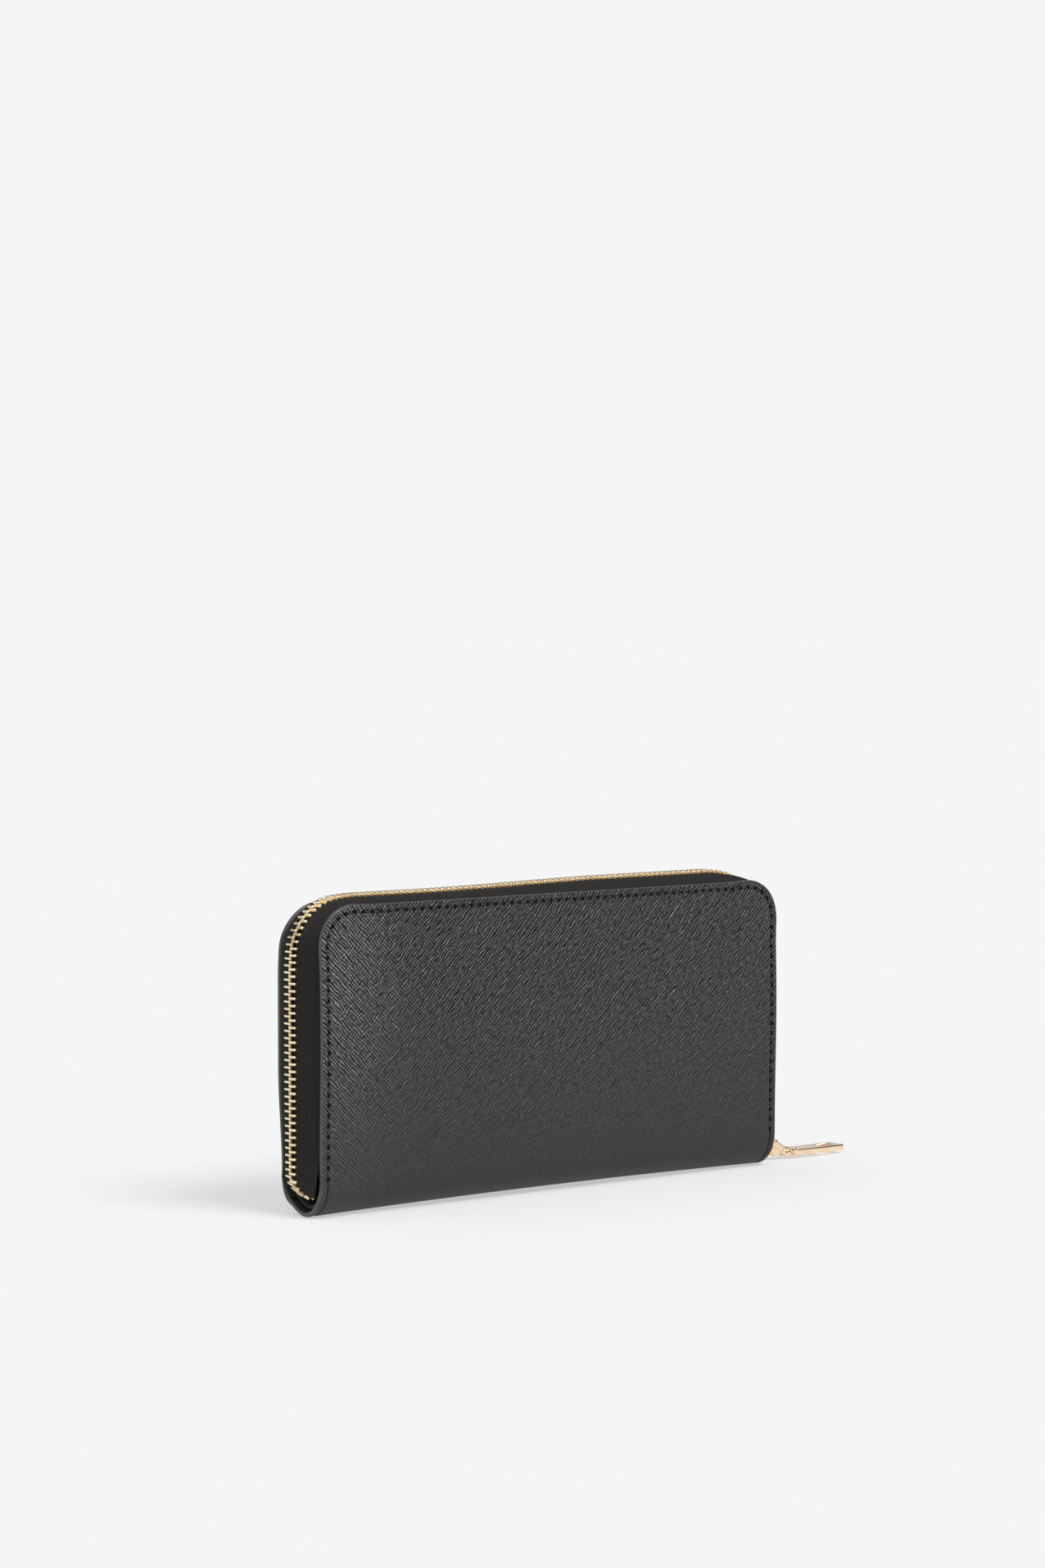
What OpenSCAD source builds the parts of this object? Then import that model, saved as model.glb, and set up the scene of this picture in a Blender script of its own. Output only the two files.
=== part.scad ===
// Zip around wallet, standing on its spine.
// X runs along the wallet (slider end is +X), Y through its thickness (front is -Y), Z is up.
// The origin is the centre of the flat strip under the spine.

/* [Covers] */
// Width of the two covers, without the zip chain
cover_w = 190; // [180:1:200]
// Height from the base to the top edge of the covers
cover_h = 98; // [95:1:104]
// Thickness of the closed wallet over both covers
wallet_t = 24; // [24:0.5:26]
// Radius of the covers' top corners
corner_r = 14; // [12:1:20]
// Thickness of the outer leather
leather_t = 0.9; // [0.8:0.1:0.9]
// Thickness of the stiffening board
board_t = 0.5; // [0.4:0.1:0.5]
// Thickness of the cover lining
lining_t = 0.6; // [0.4:0.1:0.6]
// Width of the leather's turned edge
turned_edge = 3; // [2:0.5:5]

/* [Stitching] */
// Distance of the stitch line from the covers' edge
stitch_inset = 2.4; // [2:0.1:3]
// Length of one stitch
stitch_len = 2.3; // [1.5:0.1:2.6]
// Distance from one stitch to the next
stitch_pitch = 3.3; // [3:0.1:4]
// Width of the thread
thread_w = 0.5; // [0.3:0.1:0.7]

/* [Main zip] */
// Distance between the teeth of one side
tooth_pitch = 2.3; // [2.2:0.1:2.6]
// Size of a tooth along the chain
tooth_l = 0.95; // [0.8:0.05:1]
// Width of the closed chain
chain_w = 6; // [5.6:0.1:6]
// Thickness of the teeth
chain_t = 3; // [2.6:0.1:3]
// How far the chain stands out past the covers' edge
chain_proud = 2.7; // [2:0.1:2.9]
// Thickness of the zip tape
tape_t = 0.6; // [0.4:0.1:0.7]

/* [Slider and pull] */
// Length of the slider
slider_l = 11.2; // [10:0.2:11.2]
// Width of the slider
slider_w = 9.2; // [8.6:0.2:9.4]
// Thickness of a slider plate
slider_plate_t = 1.4; // [1:0.1:1.4]
// Radius of the pins of the link
pin_r = 0.8; // [0.6:0.1:0.9]
// Width of the link
link_w = 5; // [4.6:0.2:6]
// Length of the puller from its pin
puller_l = 25; // [20:1:40]
// Width of the puller
puller_w = 7.6; // [7:0.2:10]
// Thickness of the puller
puller_t = 1.6; // [1.2:0.1:1.8]

/* [Pockets] */
// Number of card slots in a column
card_rows = 3; // [2:1:3]
// Height of the lowest card slot's mouth
card_mouth = 60; // [50:1:62]
// Step from one slot's mouth to the next
card_step = 11; // [8:1:11]
// Thickness of the pocket sheets
sheet_t = 0.4; // [0.3:0.05:0.4]
// Length of the coin pocket
coin_w = 168; // [150:1:168]
// Outer thickness of the coin pocket
coin_t = 7.2; // [6:0.1:7.2]
// Height of the top of the coin pocket's walls
coin_top = 84; // [70:1:84]

/* [Coin zip] */
// Distance between the coin zip's teeth
coin_pitch = 1.9; // [1.8:0.1:2.2]
// Width of the closed coin chain
coin_chain_w = 3.6; // [3.2:0.1:3.8]
// Thickness of the coin teeth
coin_chain_t = 1.6; // [1.2:0.1:1.6]
// Length of the coin slider
coin_slider_l = 8; // [7:0.5:9]
// Length of the coin puller from its pin
coin_puller_l = 7.2; // [6:0.2:7.2]

/* [Hidden] */
$fn = 72;

half_w = cover_w / 2;
half_t = wallet_t / 2;
hinge_z = half_t;                       // both covers turn about Y = 0 at this height
lap_angle = 29.5;                       // degrees of the covers' sandwich that wrap under the hinge line
cover_in = half_t - leather_t - board_t - lining_t;  // inner face of the lining, 10
cut = 0.01;                             // small overlap where two shapes of one piece join

leather_color = [0.09, 0.09, 0.095];
lining_color = [0.05, 0.05, 0.055];
tape_color = [0.04, 0.04, 0.045];
board_color = [0.45, 0.42, 0.38];
gold = [0.86, 0.72, 0.5];
rose_gold = [0.9, 0.68, 0.55];

// Spine: a U of leather and lining inside the lap of the covers, on a flat base strip
spine_out = cover_in - 0.1;             // outer radius of the U, 9.9
spine_t = 0.6;
spine_l = cover_w - 4.8;                // the U stops short of the covers' ends, clear of the slider
spine_from = 25;                        // degrees below the hinge line where the U's arms end
base_half = 4;                          // half width of the base strip

// Main chain's place on the ring round the covers, as an offset outward from their edge
chain_out = chain_proud;
chain_mid = chain_proud - chain_t / 2;
tooth_tip = 0.35;                       // each tooth reaches this far past the middle
tape_edge = 1.3;                        // the tape's edge, under the teeth
tape_flat = 5.2;                        // the tape is flat out to here, then slopes to the cover
flange_w = 6.4;                         // the tape's sewn flange on the lining
flange_t = 0.5;
ring_low = 20;                          // the covers' tapes and teeth start at this height
straight_top = cover_h - corner_r;

// Where the chain curls in at the left end, and where it stops at the right end
end_top = 18.8;
curl_r = 7;
curl_z = 13;
right_end_low = 7;

// Slider at the foot of the right end
slider_z = 2.4;
chain_x = half_w + chain_mid;
slider_gap = 0.3;
slot_half = 0.45;                       // half the slot for the tape in the slider's sides
outer_plate_x = half_w + chain_out + slider_gap;
crown_x = outer_plate_x + slider_plate_t;

// Link and puller, in the plane through the slider's middle
link_pos = [103, 6.3];
pin_pos = [109.6, 2.1];
link_len = norm(pin_pos - link_pos);
link_dip = atan2(link_pos[1] - pin_pos[1], pin_pos[0] - link_pos[0]);
link_t = 2.1;
ear_t = 1.1;
barrel_d = 2.9;                         // puller's barrel, past the pin
barrel_r = 1.1;
tongue_w = link_w - 2 * ear_t - 0.4;
window_l = 5.6;
window_w = 3.6;
window_end = 3.6;                       // from the window to the puller's far end

// Inside: card panels on the covers, coin pocket on the spine
panel_out = cover_in - flange_t;        // 9.5
panel_t = 0.45;
rows_out = panel_out - panel_t;
pocket_low = 15;
card_col_w = 84;
column_gap = 2;
coin_half = coin_t / 2;
coin_low = 14;
gusset_x0 = coin_w / 2 + 2.4;
gusset_x1 = half_w - 2.6;
gusset_top = 80;

// Coin chain lies flat above the coin pocket
coin_chain_z = coin_top + 2.3;
coin_run = 80;
coin_flange_t = 0.35;
coin_plate_t = 0.8;
coin_slider_x = 74;
coin_closed_gap = 4.6;                  // from the last tooth, inside the slider, to the tape's end

// Draws its child on the front, or mirrored on the back
module on_side(side) {
    if (side == "back") mirror([0, 1, 0]) children();
    else children();
}

// Extrudes a drawing in X and Z from depth y0 towards the middle by t, on the front
module sheet(y0, t) {
    translate([0, -y0 + t, 0]) rotate([90, 0, 0]) linear_extrude(t) children();
}

// Cover outline with round top corners, grown by o, from height low
module outline(o = 0, low = hinge_z) {
    r = corner_r + o;
    for (s = [-1, 1])
        translate([s * (half_w - corner_r), straight_top]) circle(r);
    translate([-half_w - o, low]) square([cover_w + 2 * o, straight_top - low]);
    translate([-half_w + corner_r, low]) square([cover_w - 2 * corner_r, cover_h + o - low]);
}

// Sector of a ring about the hinge line, from a1 to a2 degrees below -Y, along the wallet
module hinge_arc(r_out, r_in, a1, a2, length = cover_w) {
    far = 2 * r_out;
    translate([-length / 2, 0, hinge_z]) rotate([90, 0, 90]) linear_extrude(length)
        intersection() {
            difference() {
                circle(r_out);
                circle(r_in);
            }
            polygon([[0, 0], [-far * cos(a1), -far * sin(a1)],
                     [-far * cos((a1 + a2) / 2), -far * sin((a1 + a2) / 2)],
                     [-far * cos(a2), -far * sin(a2)]]);
        }
}

// Spine and base

module spine_leather() {
    color(leather_color)
        hinge_arc(spine_out, spine_out - spine_t, spine_from, 180 - spine_from, spine_l);
}

module spine_lining() {
    r = spine_out - spine_t;
    color(lining_color) hinge_arc(r, r - spine_t, spine_from, 180 - spine_from, spine_l);
}

module spine_base() {
    color(leather_color) translate([-spine_l / 2, 0, 0]) rotate([90, 0, 90]) linear_extrude(spine_l)
        difference() {
            translate([-base_half, 0]) square([2 * base_half, half_t / 2]);
            translate([0, hinge_z]) circle(spine_out);
        }
}

// Cover sandwich: leather with a turned edge, board inside it, lining behind

module cover_leather(side) {
    color(leather_color) on_side(side) {
        sheet(half_t, leather_t) outline();
        sheet(half_t - leather_t, board_t) difference() {
            outline();
            outline(-turned_edge, hinge_z + turned_edge);
        }
        hinge_arc(half_t, half_t - leather_t - board_t, 0, lap_angle);
    }
}

module cover_board(side) {
    color(board_color) on_side(side)
        sheet(half_t - leather_t, board_t) outline(-turned_edge - 0.2, hinge_z + turned_edge + 0.2);
}

module cover_lining(side) {
    color(lining_color) on_side(side) {
        sheet(half_t - leather_t - board_t, lining_t) outline();
        hinge_arc(half_t - leather_t - board_t, cover_in, 0, lap_angle);
    }
}

// Thread round the cover's edge, pressed into the leather
module cover_stitching(side) {
    low = hinge_z + 2;
    r = corner_r - stitch_inset;
    run_z = straight_top - low;
    run_x = cover_w - 2 * corner_r;
    n_z = floor(run_z / stitch_pitch);
    n_x = floor(run_x / stitch_pitch);
    n_c = floor(r * PI / 2 / stitch_pitch);
    color([0.03, 0.03, 0.03]) on_side(side) for (m = [0, 1]) mirror([m, 0, 0]) {
        for (i = [0 : n_z - 1])
            translate([half_w - stitch_inset, 0, low + (i + 0.5) * run_z / n_z]) stitch();
        for (i = [0 : n_c - 1])
            translate([half_w - corner_r, 0, straight_top])
                rotate([0, -(i + 0.5) * 90 / n_c, 0]) translate([r, 0, 0]) stitch();
        for (i = [0 : n_x / 2 - 1])
            translate([(i + 0.5) * run_x / n_x, 0, cover_h - stitch_inset])
                rotate([0, 90, 0]) stitch();
    }
}

module stitch() {
    translate([-thread_w / 2, -half_t - 0.05, -stitch_len / 2]) cube([thread_w, 0.45, stitch_len]);
}

// Card pockets

module card_panel(side) {
    color(lining_color) on_side(side) sheet(panel_out, panel_t) difference() {
        outline(-1.6, pocket_low);
        translate([-half_w, card_mouth + card_rows * card_step]) square([cover_w, cover_h]);
    }
}

module card_row(side, row) {
    mouth = card_mouth + (card_rows - row) * card_step;
    color(leather_color) on_side(side) for (s = [-1, 1])
        translate([s * (card_col_w + column_gap) / 2, 0, 0])
            sheet(rows_out - (row - 1) * sheet_t, sheet_t)
                translate([-card_col_w / 2, pocket_low]) square([card_col_w, mouth - pocket_low]);
}

// Zip tape of one cover: a band round the edge, flat at the teeth, sloping to a sewn flange
module cover_tape(side) {
    color(tape_color) on_side(side) {
        for (s = [0, 1]) mirror([s, 0, 0]) {
            translate([half_w, 0, ring_low]) linear_extrude(straight_top - ring_low) tape_profile();
            translate([half_w - corner_r, 0, straight_top]) rotate([90, 0, 0])
                rotate_extrude(angle = 90) mirror([0, 1]) translate([corner_r, 0]) tape_profile();
        }
        translate([half_w - corner_r, 0, cover_h]) rotate([0, -90, 0])
            linear_extrude(cover_w - 2 * corner_r) tape_profile();
    }
}

// Section of the tape: first coordinate is the offset outward from the cover's edge
module tape_profile() {
    h = tape_t / 2;
    slope_end = -0.6;
    polygon([[chain_mid + h, -tape_edge], [chain_mid + h, -tape_flat], [slope_end + h, -cover_in],
             [slope_end - flange_w, -cover_in], [slope_end - flange_w, -cover_in + flange_t],
             [slope_end - h, -cover_in + flange_t], [chain_mid - h, -tape_flat],
             [chain_mid - h, -tape_edge]]);
}

// One tooth of the front side: X is outward from the edge, Z runs along the chain
module tooth() {
    translate([chain_mid - chain_t / 2, -chain_w / 2, -tooth_l / 2])
        cube([chain_t, chain_w / 2 + tooth_tip, tooth_l]);
}

// Teeth of the front along a straight side, from height z0 to z1, on the right
module side_teeth(z0, z1, phase) {
    n = round((z1 - z0) / tooth_pitch);
    for (i = [0 : n - 1])
        translate([half_w, 0, z0 + (i + phase) * (z1 - z0) / n]) tooth();
}

module corner_teeth(phase) {
    n = round((corner_r + chain_mid) * PI / 2 / tooth_pitch);
    for (i = [0 : n - 1])
        translate([half_w - corner_r, 0, straight_top])
            rotate([0, -(i + phase) * 90 / n, 0]) translate([corner_r, 0, 0]) tooth();
}

module top_teeth(phase) {
    run = cover_w - 2 * corner_r;
    n = round(run / tooth_pitch);
    for (i = [0 : n - 1])
        translate([-run / 2 + (i + 1 - phase) * run / n, 0, cover_h]) rotate([0, -90, 0]) tooth();
}

// The back's teeth sit half a pitch further along than the front's
function phase_of(side) = side == "front" ? 0.25 : 0.75;

module cover_teeth(side) {
    phase = phase_of(side);
    color(gold) on_side(side) {
        mirror([1, 0, 0]) side_teeth(ring_low, straight_top, phase);
        mirror([1, 0, 0]) corner_teeth(phase);
        top_teeth(phase);
        corner_teeth(phase);
    }
}

module cover_teeth_right(side) {
    color(gold) on_side(side) side_teeth(ring_low, straight_top, phase_of(side));
}

// Ends of the zip that stay with the spine

// Left end: short straight run, then a curl inwards above the spine
module curl(o_in, o_out, y0, y1, angle = 84) {
    translate([-half_w - chain_mid + curl_r, 0, curl_z]) rotate([90, 0, 0]) rotate([0, 0, 180])
        rotate_extrude(angle = angle) translate([curl_r + o_in, y0]) square([o_out - o_in, y1 - y0]);
}

module tape_end_left() {
    h = tape_t / 2;
    color(tape_color) for (m = [0, 1]) mirror([0, m, 0]) {
        translate([-half_w - chain_mid - h, -tape_flat + 0.2, curl_z])
            cube([tape_t, tape_flat - 0.2 - tape_edge, 16.9 - curl_z]);
        curl(-h, h, tape_edge, tape_flat - 0.2);
    }
}

module teeth_end_left() {
    run = end_top - curl_z;
    n = round(run / tooth_pitch);
    turns = 4;
    step = 80 / turns;
    color(gold) for (m = [0, 1]) mirror([0, m, 0]) {
        phase = m == 0 ? 0.25 : 0.75;
        for (i = [0 : n - 1])
            translate([-half_w, 0, curl_z + (i + phase) * run / n]) mirror([1, 0, 0]) tooth();
        for (i = [0 : turns - 1])
            translate([-half_w - chain_mid + curl_r, 0, curl_z])
                rotate([0, -(i + 1 - phase) * step, 0])
                    translate([-curl_r + chain_mid, 0, 0]) mirror([1, 0, 0]) tooth();
    }
}

module tape_end_right() {
    h = tape_t / 2;
    color(tape_color) for (m = [0, 1]) mirror([0, m, 0])
        translate([chain_x - h, -tape_flat + 0.2, right_end_low])
            cube([tape_t, tape_flat - 0.2 - tape_edge, 16.9 - right_end_low]);
}

module teeth_end_right() {
    color(gold) for (m = [0, 1]) mirror([0, m, 0])
        side_teeth(right_end_low, end_top, m == 0 ? 0.25 : 0.75);
}

// Bottom stop across the left end's chain, and a top stop on each tape at the right end
module zip_stops() {
    color(gold) {
        translate([-half_w - chain_mid + curl_r, 0, curl_z]) rotate([0, -84, 0])
            translate([-curl_r - 1.2, -chain_w / 2, -0.7]) cube([2.4, chain_w, 1.4]);
        for (m = [0, 1]) mirror([0, m, 0])
            translate([chain_x - 0.9, tape_edge - 0.1, right_end_low - 1.3])
                cube([1.8, 1.6, 1.25]);
    }
}

// Slider: two plates joined by a post at the foot, with side walls that leave a slot for the tape
module slider_body() {
    wall = (slider_w - chain_w - 2 * slider_gap) / 2;
    depth = chain_t / 2 + slider_gap;
    post_l = 3;
    color(rose_gold) {
        for (s = [-1, 1]) {
            translate([chain_x + s * (depth + slider_plate_t / 2), 0, slider_z]) slider_plate();
            for (m = [-1, 1])
                translate([chain_x + s * (slot_half + depth) / 2, m * (slider_w - wall) / 2,
                           slider_z + slider_l / 2])
                    cube([depth - slot_half, wall, slider_l - 3.2], center = true);
        }
        translate([chain_x - depth - cut, 0, slider_z + 0.6]) rotate([90, 0, 90])
            linear_extrude(2 * depth + 2 * cut)
                polygon([[-1, 0], [1, 0], [1, post_l - 1.4], [0, post_l], [-1, post_l - 1.4]]);
    }
}

// Plate with rounded ends, standing in X = 0
module slider_plate() {
    r = 2.4;
    translate([-slider_plate_t / 2, 0, 0]) rotate([90, 0, 90]) linear_extrude(slider_plate_t) {
        translate([-slider_w / 2, r]) square([slider_w, slider_l - 2 * r]);
        translate([-slider_w / 2 + r, 0]) square([slider_w - 2 * r, slider_l]);
        for (x = [-1, 1]) for (z = [r, slider_l - r]) translate([x * (slider_w / 2 - r), z]) circle(r);
    }
}

// Crown: two lugs on the outer plate that hold the link's cross bar
module slider_crown() {
    lug_w = 1;
    color(rose_gold) for (m = [-1, 1]) translate([0, m * (link_w / 2 + 0.15 + lug_w / 2), 0])
        translate([0, lug_w / 2, 0]) rotate([90, 0, 0]) linear_extrude(lug_w) difference() {
            union() {
                translate([crown_x, link_pos[1] - 2]) square([link_pos[0] - crown_x, 4]);
                translate(link_pos) circle(2);
            }
            translate(link_pos) circle(pin_r + 0.05);
        }
}

// Link: cross bar in the crown, flat bar sloping down to two ears, and a hood under it
module pull_link() {
    h = link_t / 2;
    hood = 2.7;
    color(rose_gold) translate([link_pos[0], 0, link_pos[1]]) rotate([0, link_dip, 0]) {
        rotate([90, 0, 0]) cylinder(r = pin_r, h = link_w + 2.3, center = true);
        translate([0, link_w / 2, 0]) rotate([90, 0, 0]) linear_extrude(link_w) {
            circle(h);
            translate([0, -h]) square([link_len - 2.6, 2 * h]);
        }
        for (m = [-1, 1]) translate([0, m * (link_w - ear_t) / 2 + ear_t / 2, 0]) rotate([90, 0, 0])
            linear_extrude(ear_t) difference() {
                union() {
                    translate([link_len - 2.7, -h]) square([2.7, 2 * h]);
                    translate([link_len, 0]) circle(h);
                }
                translate([link_len, 0]) circle(pin_r + 0.03);
            }
        translate([0, link_w / 2 - 0.6, 0]) rotate([90, 0, 0]) linear_extrude(link_w - 1.2)
            polygon([[0.6, -h + cut], [0.9, -h - hood * 0.6], [3.6, -h - hood],
                     [4.9, -h - hood * 0.72], [link_len - 2.6, -h + cut]]);
    }
}

module pull_pin() {
    color(rose_gold) translate([pin_pos[0], 0, pin_pos[1]]) rotate([90, 0, 0]) {
        cylinder(r = pin_r, h = link_w, center = true);
        for (s = [-1, 1]) translate([0, 0, s * (link_w / 2 + 0.15)])
            cylinder(r = pin_r + 0.25, h = 0.3, center = true);
    }
}

// Puller: tongue on the pin, barrel, flat bar with a window near its far end
module puller() {
    bar_z = pin_pos[1] - 0.35;
    far_x = pin_pos[0] + puller_l;
    bar_x = pin_pos[0] + barrel_d;
    color(rose_gold) {
        translate([pin_pos[0], tongue_w / 2, pin_pos[1]]) rotate([90, 0, 0])
            linear_extrude(tongue_w) difference() {
                union() {
                    circle(1.4);
                    translate([0, -1]) square([barrel_d, 1.8]);
                }
                circle(pin_r + 0.05);
            }
        translate([bar_x, 0, bar_z]) rotate([90, 0, 0]) cylinder(r = barrel_r, h = puller_w, center = true);
        translate([bar_x, 0, bar_z - puller_t / 2]) linear_extrude(puller_t) difference() {
            translate([0, -puller_w / 2]) square([far_x - bar_x, puller_w]);
            translate([far_x - bar_x - window_end - window_l, -window_w / 2]) square([window_l, window_w]);
        }
    }
}

// Coin pocket: two walls, a strip round their foot and ends, zip along the top

module coin_wall(side) {
    color(lining_color) on_side(side) sheet(coin_half, sheet_t)
        translate([-coin_w / 2, coin_low]) square([coin_w, coin_top - coin_low]);
}

module coin_gusset() {
    inner = coin_half - sheet_t;
    color(lining_color) difference() {
        translate([-coin_w / 2, -inner, coin_low]) cube([coin_w, 2 * inner, coin_top - coin_low]);
        translate([-coin_w / 2 + sheet_t, -coin_half, coin_low + sheet_t])
            cube([coin_w - 2 * sheet_t, 2 * coin_half, coin_top]);
    }
}

module coin_tape(side) {
    inner = coin_half - sheet_t;
    h = coin_flange_t / 2;
    color(tape_color) on_side(side) translate([-coin_run - 2, 0, coin_chain_z]) rotate([90, 0, 90])
        linear_extrude(2 * coin_run + 4)
            polygon([[-0.7, h], [-inner, h], [-inner, -6], [-inner + coin_flange_t, -6],
                     [-inner + coin_flange_t, -h], [-0.7, -h]]);
}

module coin_teeth() {
    n = floor((2 * coin_run - 2 - coin_closed_gap) / coin_pitch);
    color(gold) for (m = [0, 1]) mirror([0, m, 0]) for (i = [0 : n - 1])
        translate([-coin_run + 2 + (i + (m == 0 ? 0.25 : 0.75)) * coin_pitch, 0, coin_chain_z])
            translate([-0.375, -coin_chain_w / 2, -coin_chain_t / 2])
                cube([0.75, coin_chain_w / 2 + 0.25, coin_chain_t]);
}

module coin_stops() {
    color(gold) for (s = [-1, 1]) translate([s * (coin_run + 0.4), 0, coin_chain_z])
        cube([1.4, coin_chain_w, coin_chain_t], center = true);
}

module coin_slider() {
    depth = coin_chain_t / 2 + 0.25;
    wall = 0.5;
    color(gold) translate([coin_slider_x, 0, coin_chain_z]) {
        translate([0, 0, depth + coin_plate_t / 2])
            cube([coin_slider_l, 5.8, coin_plate_t], center = true);
        translate([0, 0, -depth - coin_plate_t / 2])
            cube([coin_slider_l, 4.8, coin_plate_t], center = true);
        translate([coin_slider_l / 2 - 1, 0, 0]) cube([1.2, 1, 2 * depth + cut], center = true);
        for (m = [-1, 1]) translate([0, m * (2.9 - wall / 2), (depth + 0.35) / 2])
            cube([coin_slider_l - 2, wall, depth - 0.35 + cut], center = true);
        coin_crown();
    }
}

// Crown of the coin slider: two lugs with a pin between them
module coin_crown() {
    base = coin_chain_t / 2 + 0.25 + coin_plate_t;
    for (m = [-1, 1]) translate([-2, m * 1.6 + 0.3, base - cut]) rotate([90, 0, 0])
        linear_extrude(0.6) {
            translate([-1, 0]) square([2, 1.2]);
            translate([0, 1.2]) circle(1);
        }
    translate([-2, 0, base + 1.2]) rotate([90, 0, 0]) cylinder(r = 0.45, h = 3.2, center = true);
}

// Coin puller lies flat over the slider, pointing to -X
module coin_puller() {
    z = coin_chain_z + coin_chain_t / 2 + 0.25 + coin_plate_t + 1.2;
    x = coin_slider_x - 2;
    color(gold) {
        translate([x, 1.1, z]) rotate([90, 0, 0]) linear_extrude(2.2) difference() {
            union() {
                circle(0.95);
                translate([-2.2, -0.5]) square([2.2, 1]);
            }
            circle(0.5);
        }
        translate([x - coin_puller_l, -2, z - 0.5]) cube([coin_puller_l - 2, 4, 1]);
    }
}

// Side gusset: a pleat between the coin pocket and the card rows, folded towards the middle
module side_gusset(side, s) {
    y0 = coin_half + 0.1;
    y1 = rows_out - card_rows * sheet_t - 0.1;
    ym = (y0 + y1) / 2;
    g = 0.4;
    color(lining_color) on_side(side) mirror([s < 0 ? 1 : 0, 0, 0]) translate([0, 0, pocket_low])
        linear_extrude(gusset_top - pocket_low)
            polygon([[gusset_x1, -y0], [gusset_x1, -y0 - g], [gusset_x0 + 1.2, -ym],
                     [gusset_x1, -y1 + g], [gusset_x1, -y1], [gusset_x0, -y1], [gusset_x0, -y1 + g],
                     [gusset_x1 - 1.6, -y1 + g], [gusset_x0, -ym - 0.1], [gusset_x0, -ym + 0.1],
                     [gusset_x1 - 1.6, -y0 - g], [gusset_x0, -y0 - g], [gusset_x0, -y0]]);
}

spine_leather();
spine_lining();
spine_base();
coin_wall("front");  // coin_wall_front
coin_wall("back");  // coin_wall_back
coin_gusset();
coin_tape("front");  // coin_tape_front
coin_tape("back");  // coin_tape_back
coin_teeth();
coin_stops();
side_gusset("front", -1);  // gusset_front_left
side_gusset("front", 1);  // gusset_front_right
side_gusset("back", -1);  // gusset_back_left
side_gusset("back", 1);  // gusset_back_right
tape_end_left();
tape_end_right();
teeth_end_left();
teeth_end_right();
zip_stops();
cover_leather("front");  // front_leather
cover_board("front");  // front_board
cover_lining("front");  // front_lining
card_panel("front");  // front_card_panel
card_row("front", 1);  // front_card_row_1
card_row("front", 2);  // front_card_row_2
card_row("front", 3);  // front_card_row_3
cover_tape("front");  // front_tape
cover_teeth("front");  // front_teeth
cover_teeth_right("front");  // front_teeth_right
cover_stitching("front");  // front_stitching
cover_leather("back");  // back_leather
cover_board("back");  // back_board
cover_lining("back");  // back_lining
card_panel("back");  // back_card_panel
card_row("back", 1);  // back_card_row_1
card_row("back", 2);  // back_card_row_2
card_row("back", 3);  // back_card_row_3
cover_tape("back");  // back_tape
cover_teeth("back");  // back_teeth
cover_teeth_right("back");  // back_teeth_right
cover_stitching("back");  // back_stitching
slider_body();
slider_crown();
pull_link();
pull_pin();
puller();
coin_slider();
coin_puller();
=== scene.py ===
"""Zip around wallet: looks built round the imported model.

Lengths are in millimetres until a mesh is made, then in metres. X runs along the wallet, Y through it
(front is -Y), Z is up, as in the frame."""
import math

import bpy
import numpy as np
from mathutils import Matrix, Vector


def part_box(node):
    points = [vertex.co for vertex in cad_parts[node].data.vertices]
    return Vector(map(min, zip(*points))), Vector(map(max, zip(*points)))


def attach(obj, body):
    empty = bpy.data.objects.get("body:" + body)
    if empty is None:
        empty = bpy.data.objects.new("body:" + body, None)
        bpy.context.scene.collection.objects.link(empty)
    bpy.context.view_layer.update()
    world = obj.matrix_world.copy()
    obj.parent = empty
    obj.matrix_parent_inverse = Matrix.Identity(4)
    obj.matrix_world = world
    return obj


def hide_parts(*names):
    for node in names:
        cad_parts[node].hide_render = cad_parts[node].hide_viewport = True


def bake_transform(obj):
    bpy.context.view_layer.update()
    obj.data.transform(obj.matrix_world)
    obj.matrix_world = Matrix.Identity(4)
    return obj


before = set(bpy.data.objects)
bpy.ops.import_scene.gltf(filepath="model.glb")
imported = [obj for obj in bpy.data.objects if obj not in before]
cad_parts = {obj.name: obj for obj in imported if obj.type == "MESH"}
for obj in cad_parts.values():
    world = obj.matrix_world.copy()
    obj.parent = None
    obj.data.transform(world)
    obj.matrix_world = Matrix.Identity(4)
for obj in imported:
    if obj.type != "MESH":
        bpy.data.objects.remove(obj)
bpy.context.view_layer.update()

MM = 0.001


# ---- sizes from the frame

def node_box(node):
    """Lowest and highest corner of a CAD node, in millimetres."""
    low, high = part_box(node)
    return np.array(low) / MM, np.array(high) / MM


LEATHER_LOW, LEATHER_HIGH = node_box("front_leather")
HALF_W = LEATHER_HIGH[0]  # half the covers' width
TOP = LEATHER_HIGH[2]  # height of the covers' top edge
HALF_T = -LEATHER_LOW[1]  # half the closed wallet's thickness
HINGE_Z = HALF_T  # both covers turn about Y = 0 at this height
CORNER_R = 14.0  # radius of the top corners
STRAIGHT_TOP = TOP - CORNER_R
WRAP = HALF_T * math.pi / 2  # leather from the base's middle to the hinge height
SHEET_TOP = WRAP + TOP - HINGE_Z  # the leather's length from the base's middle

TEETH_LOW, TEETH_HIGH = node_box("front_teeth")
CHAIN_OUT = TEETH_HIGH[2] - TOP  # outer face of the teeth past the covers' edge
CHAIN_HALF = -TEETH_LOW[1]  # half the chain's width
CHAIN_T = 3.0
CHAIN_MID = CHAIN_OUT - CHAIN_T / 2
TOOTH_PITCH = 2.3
TEETH_OUT = 0.4  # the teeth's middle, outward of the chain's
TEETH_SHARP = 50  # degrees between faces past which a tooth's edge is sharp
CURL_R = 7.0  # the chain's curl at the left end
CURL_Z = 13.0
CURL_X = -HALF_W - CHAIN_MID + CURL_R
RIGHT_END = node_box("teeth_end_right")[0][2]

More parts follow.
